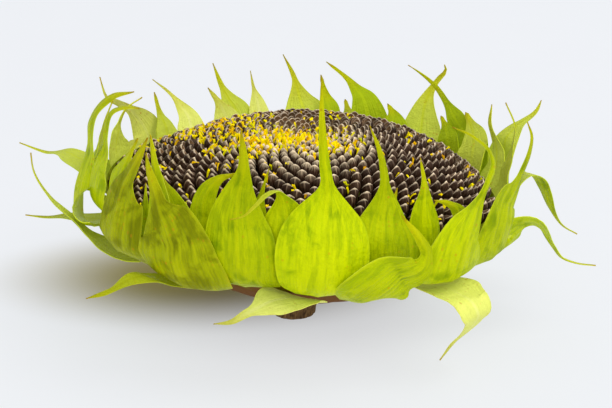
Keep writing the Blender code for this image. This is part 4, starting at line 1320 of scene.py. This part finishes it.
@dataclass(frozen=True)
class BractRing:
    """All the bracts, each a thin closed sheet along its middle line. Sizes in millimetres."""

    head: HeadSpace
    stations: int = 46
    columns: int = 17
    mean_out: float = 80.0       # one degree of turn is about 1.4 mm at this distance
    blade_power: float = 2.2
    tail_power: float = 0.8
    tip_width: float = 0.35
    thick_foot: float = 1.0
    thick_tip: float = 0.4
    pad_end: float = 0.46        # the lower part, up to this share of the length, bulges like a pad
    pad_height: float = 2.4
    thick_edge: float = 0.35     # share of the thickness left at the edge
    rib_height: float = 0.34
    rib_width: float = 0.8
    wave: float = 0.045          # height of the wavy edge as a share of the width
    pleat: float = 0.007         # height of the pleats as a share of the half width
    pleats: float = 3.0          # half waves across
    uneven: float = 0.05         # spread of the half width, as a share of it
    curve_steps: int = 240
    first_seed: int = 100        # of the random numbers; each bract has its own

    def build(self, effects: Effects) -> None:
        """Adds every bract in place of its CAD node."""
        finishes = {shade: finish.material(effects) for shade, finish in BRACT_FINISHES.items()}
        for number, bract in enumerate(BRACTS):
            surface = self.sheet(bract, np.random.default_rng(self.first_seed + number))
            add_piece(surface, "leaf_" + bract.name, finishes[bract.shade], "bract", "bract_" + bract.name)

    def middle_line(self, bract: Bract) -> Array:
        """Smooth curve through the bract's points, evenly spaced by length.

        Between two points the curve is a cubic with the slopes of the points' neighbours.

        Returns:
            Turn, out and up at each station.
        """
        knots = np.array(bract.line, dtype=float)
        flat = knots.copy()
        flat[:, 0] = np.radians(knots[:, 0]) * self.mean_out
        steps = np.linalg.norm(np.diff(flat, axis=0), axis=1)
        along = np.concatenate([[0.0], np.cumsum(steps)])
        slopes = np.gradient(knots, along, axis=0)
        fine = np.linspace(0.0, along[-1], self.curve_steps)
        cell = np.clip(np.searchsorted(along, fine, side="right") - 1, 0, len(steps) - 1)
        width = steps[cell][:, None]
        t = (fine - along[cell])[:, None] / width
        curve = ((2 * t**3 - 3 * t**2 + 1) * knots[cell] + (t**3 - 2 * t**2 + t) * width * slopes[cell]
                 + (3 * t**2 - 2 * t**3) * knots[cell + 1] + (t**3 - t**2) * width * slopes[cell + 1])
        real = curve.copy()
        real[:, 0] = np.radians(curve[:, 0]) * curve[:, 1]
        lengths = np.concatenate([[0.0], np.cumsum(np.linalg.norm(np.diff(real, axis=0), axis=1))])
        wanted = np.linspace(0.0, lengths[-1], self.stations)
        return np.stack([np.interp(wanted, lengths, curve[:, k]) for k in range(3)], -1)

    def half_widths(self, bract: Bract, share: Array) -> Array:
        """Half width along the length: a rounded foot, a broad blade, then a thin tail past the neck."""
        rounding = np.sin(np.clip(share / bract.round_end, 0.0, 1.0) * np.pi / 2.0)
        foot = bract.foot + (1.0 - bract.foot) * rounding
        narrowing = np.clip(share / bract.neck, 0.0, 1.0) ** bract.shoulder
        blade = (1.0 - bract.tail) * (1.0 - narrowing) ** self.blade_power
        past_neck = np.clip((share - bract.neck) / (1.0 - bract.neck), 0.0, 1.0)
        tail = bract.tail * (1.0 - past_neck) ** self.tail_power
        return np.maximum(0.5 * bract.width * foot * (blade + tail), 0.5 * self.tip_width)

    def directions(self, bract: Bract, line: Array, share: Array) -> tuple[Array, Array]:
        """Crosswise direction and outer normal at each station, in local cross, out and up.

        The crosswise direction is the level one at right angles to the line. Both then roll
        about the line by an angle that grows with the square of the share of the length.
        """
        real = line.copy()
        real[:, 0] = np.radians(line[:, 0]) * self.mean_out
        along = np.gradient(real, axis=0)
        along /= np.linalg.norm(along, axis=1, keepdims=True)
        cross = np.array([1.0, 0.0, 0.0]) - along[:, :1] * along
        cross /= np.maximum(np.linalg.norm(cross, axis=1, keepdims=True), 0.05)
        normal = np.cross(along, cross)
        roll = np.radians(bract.roll_foot + (bract.roll_tip - bract.roll_foot) * share**2)[:, None]
        return cross * np.cos(roll) + normal * np.sin(roll), normal * np.cos(roll) - cross * np.sin(roll)

    def sheet(self, bract: Bract, rng: np.random.Generator) -> Surface:
        """The bract as a closed sheet with a rib, pleats and wavy edges.

        A point stands off its middle line by side, its share of the half width, and by the sum of
        a cup (minus side squared), waves that grow with the cube of the distance from the middle,
        shallow pleats, and half the thickness. The rib is a bell curve on the outer face.
        """
        line = self.middle_line(bract)
        share = np.linspace(0.0, 1.0, self.stations)
        cross, normal = self.directions(bract, line, share)
        across = np.sin(np.linspace(-0.5, 0.5, self.columns) * np.pi)[None, :]
        share_column = share[:, None]
        half = self.half_widths(bract, share)[:, None]
        left = 1.0 + self.uneven * ripple(share, rng)[:, None]
        right = 1.0 + self.uneven * ripple(share, rng)[:, None]
        side = half * across * np.where(across < 0.0, left, right)
        free = smoothstep(share_column, 0.12, 0.5)
        wave_left = ripple(share, rng, first=2)[:, None]
        wave_right = ripple(share, rng, first=2)[:, None]
        waves = np.where(across < 0.0, wave_left, wave_right) * np.abs(across) ** 3
        pleats = np.cos(across * np.pi * self.pleats + rng.uniform(-0.5, 0.5))
        pleats = pleats * smoothstep(share_column, 0.02, 0.3)
        swell = self.swell(bract, share_column) * (1.0 - across**2)
        middle = self.wave * 2.0 * half * waves * free + self.pleat * half * pleats - bract.cup * side**2
        middle = middle + self.pad_height * swell
        thick = self.thick_foot + (self.thick_tip - self.thick_foot) * share_column
        thick = thick * (1.0 - (1.0 - self.thick_edge) * np.abs(across) ** 1.5)
        rib = self.rib_height * bell(side, 0.0, self.rib_width) * (1.0 - 0.6 * share_column)
        faces_off = (middle + 0.5 * thick + rib, middle - 0.5 * thick)
        length = self.length(line)
        grids = [self.spread(line, cross, normal, side, off) for off in faces_off]
        size = side.size
        per_point = {
            "across": np.broadcast_to(across, side.shape),
            "reach": np.broadcast_to(share_column, side.shape),
            "side": side,
            "far": np.broadcast_to(share_column * length, side.shape),
            "tint": np.full(side.shape, rng.uniform()),
            "swell": swell,
        }
        values = {key: np.tile(value.ravel(), 2) for key, value in per_point.items()}
        values["inner"] = np.repeat([0.0, 1.0], size)
        return Surface(np.vstack(grids), sheet_faces(*side.shape), values)

    def swell(self, bract: Bract, share: Array) -> Array:
        """Bulge of the lower part, 1 at most: half a sine wave to pad_end, then a narrow crease."""
        wave = np.sin(np.clip(share / self.pad_end, 0.0, 1.0) * np.pi)
        return SWELLS[bract.name.split("_")[0]] * (wave - 0.2 * bell(share, self.pad_end, 0.05))

    @staticmethod
    def length(line: Array) -> float:
        """Length of a middle line in millimetres."""
        real = line.copy()
        real[:, 0] = np.radians(line[:, 0]) * line[:, 1]
        return float(np.linalg.norm(np.diff(real, axis=0), axis=1).sum())

    def spread(self, line: Array, cross: Array, normal: Array, side: Array, off: Array) -> Array:
        """Points at side and off from the middle line, in metres, row by row."""
        steps = side[..., None] * cross[:, None] + off[..., None] * normal[:, None]
        turn = line[:, 0:1] + np.degrees(steps[..., 0] / line[:, 1:2])
        out = line[:, 1:2] + steps[..., 1]
        up = line[:, 2:3] + steps[..., 2]
        return self.head.place(turn, out, up).reshape(-1, 3)


@dataclass(frozen=True)
class Underside:
    """The receptacle and the cut stem, as bodies of rings round the axis. Sizes in millimetres."""

    head: HeadSpace
    segments: int = 144
    seed_length: float = 9.3
    ribs: int = 34
    ray_fineness: float = 9.0      # the higher, the more fibres round the axis
    rib_height: float = 0.22
    brown_front: float = 80.0      # the brown, partly painted shade, reaches this far from the axis at the front
    brown_back: float = 56.0       # and this far elsewhere
    brown_turns: float = 60.0
    brown_fade: float = 28.0
    stem_ribs: int = 13
    stem_rib_height: float = 0.28
    slope: tuple[tuple[float, float], ...] = (
        (10.2, 6.3), (13.0, 8.8), (19.0, 11.8), (28.0, 15.6), (39.0, 20.4), (50.0, 26.0),
        (59.0, 31.6), (65.5, 37.0), (70.0, 43.0), (73.0, 48.0), (74.5, 52.0))
    floor: tuple[float, ...] = (72.5, 66.0, 56.0, 44.0, 32.0, 20.0, 9.0)
    stem: tuple[tuple[float, float], ...] = ((7.7, 0.0), (8.5, 0.9), (8.6, 3.5), (9.3, 5.9))
    slope_steps: int = 40
    stem_steps: int = 14
    ribs_rise: tuple[float, float] = (14.0, 40.0)     # distances between which the ribs grow
    ribs_fall: tuple[float, float] = (66.0, 74.0)     # and shrink again
    slope_seed: int = 5
    stem_seed: int = 6

    def build(self, effects: Effects) -> None:
        """Adds the receptacle and the stem stub."""
        add_piece(self.receptacle(), "receptacle_body", ReceptacleFinish().material(effects), "receptacle",
                  "receptacle")
        add_piece(self.stub(), "cut_stem", StemFinish().material(effects), "stem", "stem_stub")

    def turns(self) -> Array:
        """Degrees round the axis of the points of a ring."""
        return np.arange(self.segments) * 360.0 / self.segments

    def rings(self, out: Array, up: Array, values: dict[str, Array]) -> Surface:
        """A closed body of rings given by out and up, each (rings, segments)."""
        turns = np.broadcast_to(self.turns(), out.shape)
        points = self.head.place(turns, out, up).reshape(-1, 3)
        faces = tube_faces(out.shape[0], self.segments, tip=False)
        values = {key: value.ravel() for key, value in values.items()}
        values["ray_right"] = (self.ray_fineness * np.sin(np.radians(turns))).ravel()
        values["ray_back"] = (self.ray_fineness * np.cos(np.radians(turns))).ravel()
        return Surface(points, faces, values)

    def receptacle(self) -> Surface:
        """Shallow cone with ribs toward the rim, under a copy of the dome one seed lower."""
        knots = np.array(self.slope)
        steps = np.linspace(0.0, 1.0, self.slope_steps)
        knot_share = np.linspace(0.0, 1.0, len(knots))
        under_out = np.interp(steps, knot_share, knots[:, 0])[:, None]
        under_up = np.interp(steps, knot_share, knots[:, 1])[:, None]
        turn = self.turns()[None, :]
        rng = np.random.default_rng(self.slope_seed)
        uneven = ripple(np.broadcast_to(turn / 360.0, (1, self.segments)), rng, waves=9, first=3)
        ribs = self.rib_height * np.cos(np.radians(turn * self.ribs) + 1.4 * uneven)
        fade = smoothstep(under_out, *self.ribs_rise) * (1.0 - smoothstep(under_out, *self.ribs_fall))
        out = under_out + 0.0 * turn - 0.25 * fade
        up = under_up + (ribs + 0.15 * uneven + 0.25) * fade
        floor_out = np.array(self.floor)[:, None] + 0.0 * turn
        floor_up = self.head.dome_up(floor_out, turn) - self.seed_length
        all_out = np.vstack([out, floor_out])
        all_up = np.vstack([up, floor_up])
        under = np.vstack([np.ones_like(out), np.zeros_like(floor_out)])
        # The brown is partly the receptacle's own and partly painted shade; it reaches farther at the front,
        # under the front bracts.
        front = bell(np.minimum(turn, 360.0 - turn), 0.0, self.brown_turns)
        brown_end = self.brown_back + (self.brown_front - self.brown_back) * front
        browned = (1.0 - smoothstep(all_out, brown_end - self.brown_fade, brown_end)) * under
        return self.rings(all_out, all_up, {"browned": browned, "reach": all_out / self.head.disc_radius})

    def stub(self) -> Surface:
        """The stem: a slightly waisted, ribbed tube, its cut end flat on the table."""
        knots = np.array(self.stem)
        ups = np.linspace(0.0, knots[-1, 1], self.stem_steps)[:, None]
        turn = self.turns()[None, :]
        rng = np.random.default_rng(self.stem_seed)
        uneven = ripple(np.broadcast_to(turn / 360.0, (1, self.segments)), rng, waves=7, first=2)
        ribs = self.stem_rib_height * np.abs(np.cos(np.radians(turn * self.stem_ribs / 2.0) + 0.8 * uneven))
        out = np.interp(ups, knots[:, 1], knots[:, 0]) + ribs - 0.1 + 0.0 * turn
        surface = self.rings(out, ups + 0.0 * turn, {})
        surface.points[:self.segments, 2] = 0.0
        return surface


@dataclass(frozen=True)
class Lamp:
    """A soft square lamp that faces the head: degrees round and above it, metres, watts."""

    name: str
    turn: float
    above: float
    distance: float
    size: float
    watts: float
    colour: Colour = (1.0, 1.0, 1.0)


@dataclass(frozen=True)
class Studio:
    """Camera at the photograph's angle, soft lamps, pale surroundings and floor."""

    head: HeadSpace
    distance: float = 0.62
    above: float = 20.0
    lens: float = 95.0
    sensor: float = 36.0
    aim: Place = (0.005, 0.0, 0.045)     # from the foot of the axis
    floor_size: float = 30.0
    surround: Colour = (0.93, 0.96, 1.0)
    surround_strength: float = 0.72
    lamps: tuple[Lamp, ...] = (
        Lamp("window", turn=62.0, above=52.0, distance=2.0, size=1.2, watts=16.0, colour=(1.0, 0.98, 0.95)),
        Lamp("front_fill", turn=5.0, above=22.0, distance=2.2, size=1.8, watts=11.0),
    )

    def build(self) -> None:
        """Adds everything that isn't part of the head."""
        self.add_camera()
        for lamp in self.lamps:
            self.add_lamp(lamp)
        self.add_world()
        self.add_floor()
        scene = bpy.context.scene
        scene.view_settings.view_transform = "Standard"
        scene.view_settings.look = "None"

    def target(self) -> Array:
        """The point that the camera and the lamps face."""
        return np.array([*self.head.foot, 0.0]) + np.array(self.aim)

    def seen_from(self, turn: float, above: float, distance: float) -> tuple[Array, tuple]:
        """Position and rotation of something that faces the target from a turn and a height angle."""
        turn_angle = np.radians(turn)
        above_angle = np.radians(above)
        level = np.cos(above_angle)
        away = np.array([np.sin(turn_angle) * level, -np.cos(turn_angle) * level, np.sin(above_angle)])
        return self.target() + distance * away, (np.pi / 2.0 - above_angle, 0.0, turn_angle)

    def add_camera(self) -> None:
        """Adds the camera and makes it the scene's."""
        data = bpy.data.cameras.new("photo_camera")
        data.lens = self.lens
        data.sensor_width = self.sensor
        data.clip_start = 0.01
        data.clip_end = 100.0
        made = bpy.data.objects.new("photo_camera", data)
        made.location, made.rotation_euler = self.seen_from(0.0, self.above, self.distance)
        bpy.context.scene.collection.objects.link(made)
        bpy.context.scene.camera = made

    def add_lamp(self, lamp: Lamp) -> None:
        """Adds one soft lamp."""
        data = bpy.data.lights.new(lamp.name, "AREA")
        data.shape = "SQUARE"
        data.size = lamp.size
        data.energy = lamp.watts
        data.color = lamp.colour
        made = bpy.data.objects.new(lamp.name, data)
        made.location, made.rotation_euler = self.seen_from(lamp.turn, lamp.above, lamp.distance)
        made.visible_camera = False
        bpy.context.scene.collection.objects.link(made)

    def add_world(self) -> None:
        """Lights everything evenly from the surroundings."""
        world = bpy.data.worlds.new("pale_room")
        world.use_nodes = True
        background = world.node_tree.nodes["Background"]
        background.inputs["Color"].default_value = (*self.surround, 1.0)
        background.inputs["Strength"].default_value = self.surround_strength
        bpy.context.scene.world = world

    def add_floor(self) -> None:
        """Adds the table as one wide square."""
        half = self.floor_size / 2.0
        corners = np.array([(-half, -half, 0.0), (half, -half, 0.0), (half, half, 0.0), (-half, half, 0.0)])
        surface = Surface(corners, [np.array([[0, 1, 2, 3]])])
        floor = surface.to_object("pale_table", FloorFinish().material())


def main() -> None:
    """Builds the head's pieces and the studio."""
    head = HeadSpace.on_stub()
    effects = Effects()
    Underside(head).build(effects)
    SeedFace(head).build(effects)
    Florets(head).build(effects)
    BractRing(head).build(effects)
    Studio(head).build()


if __name__ == "__main__":
    main()
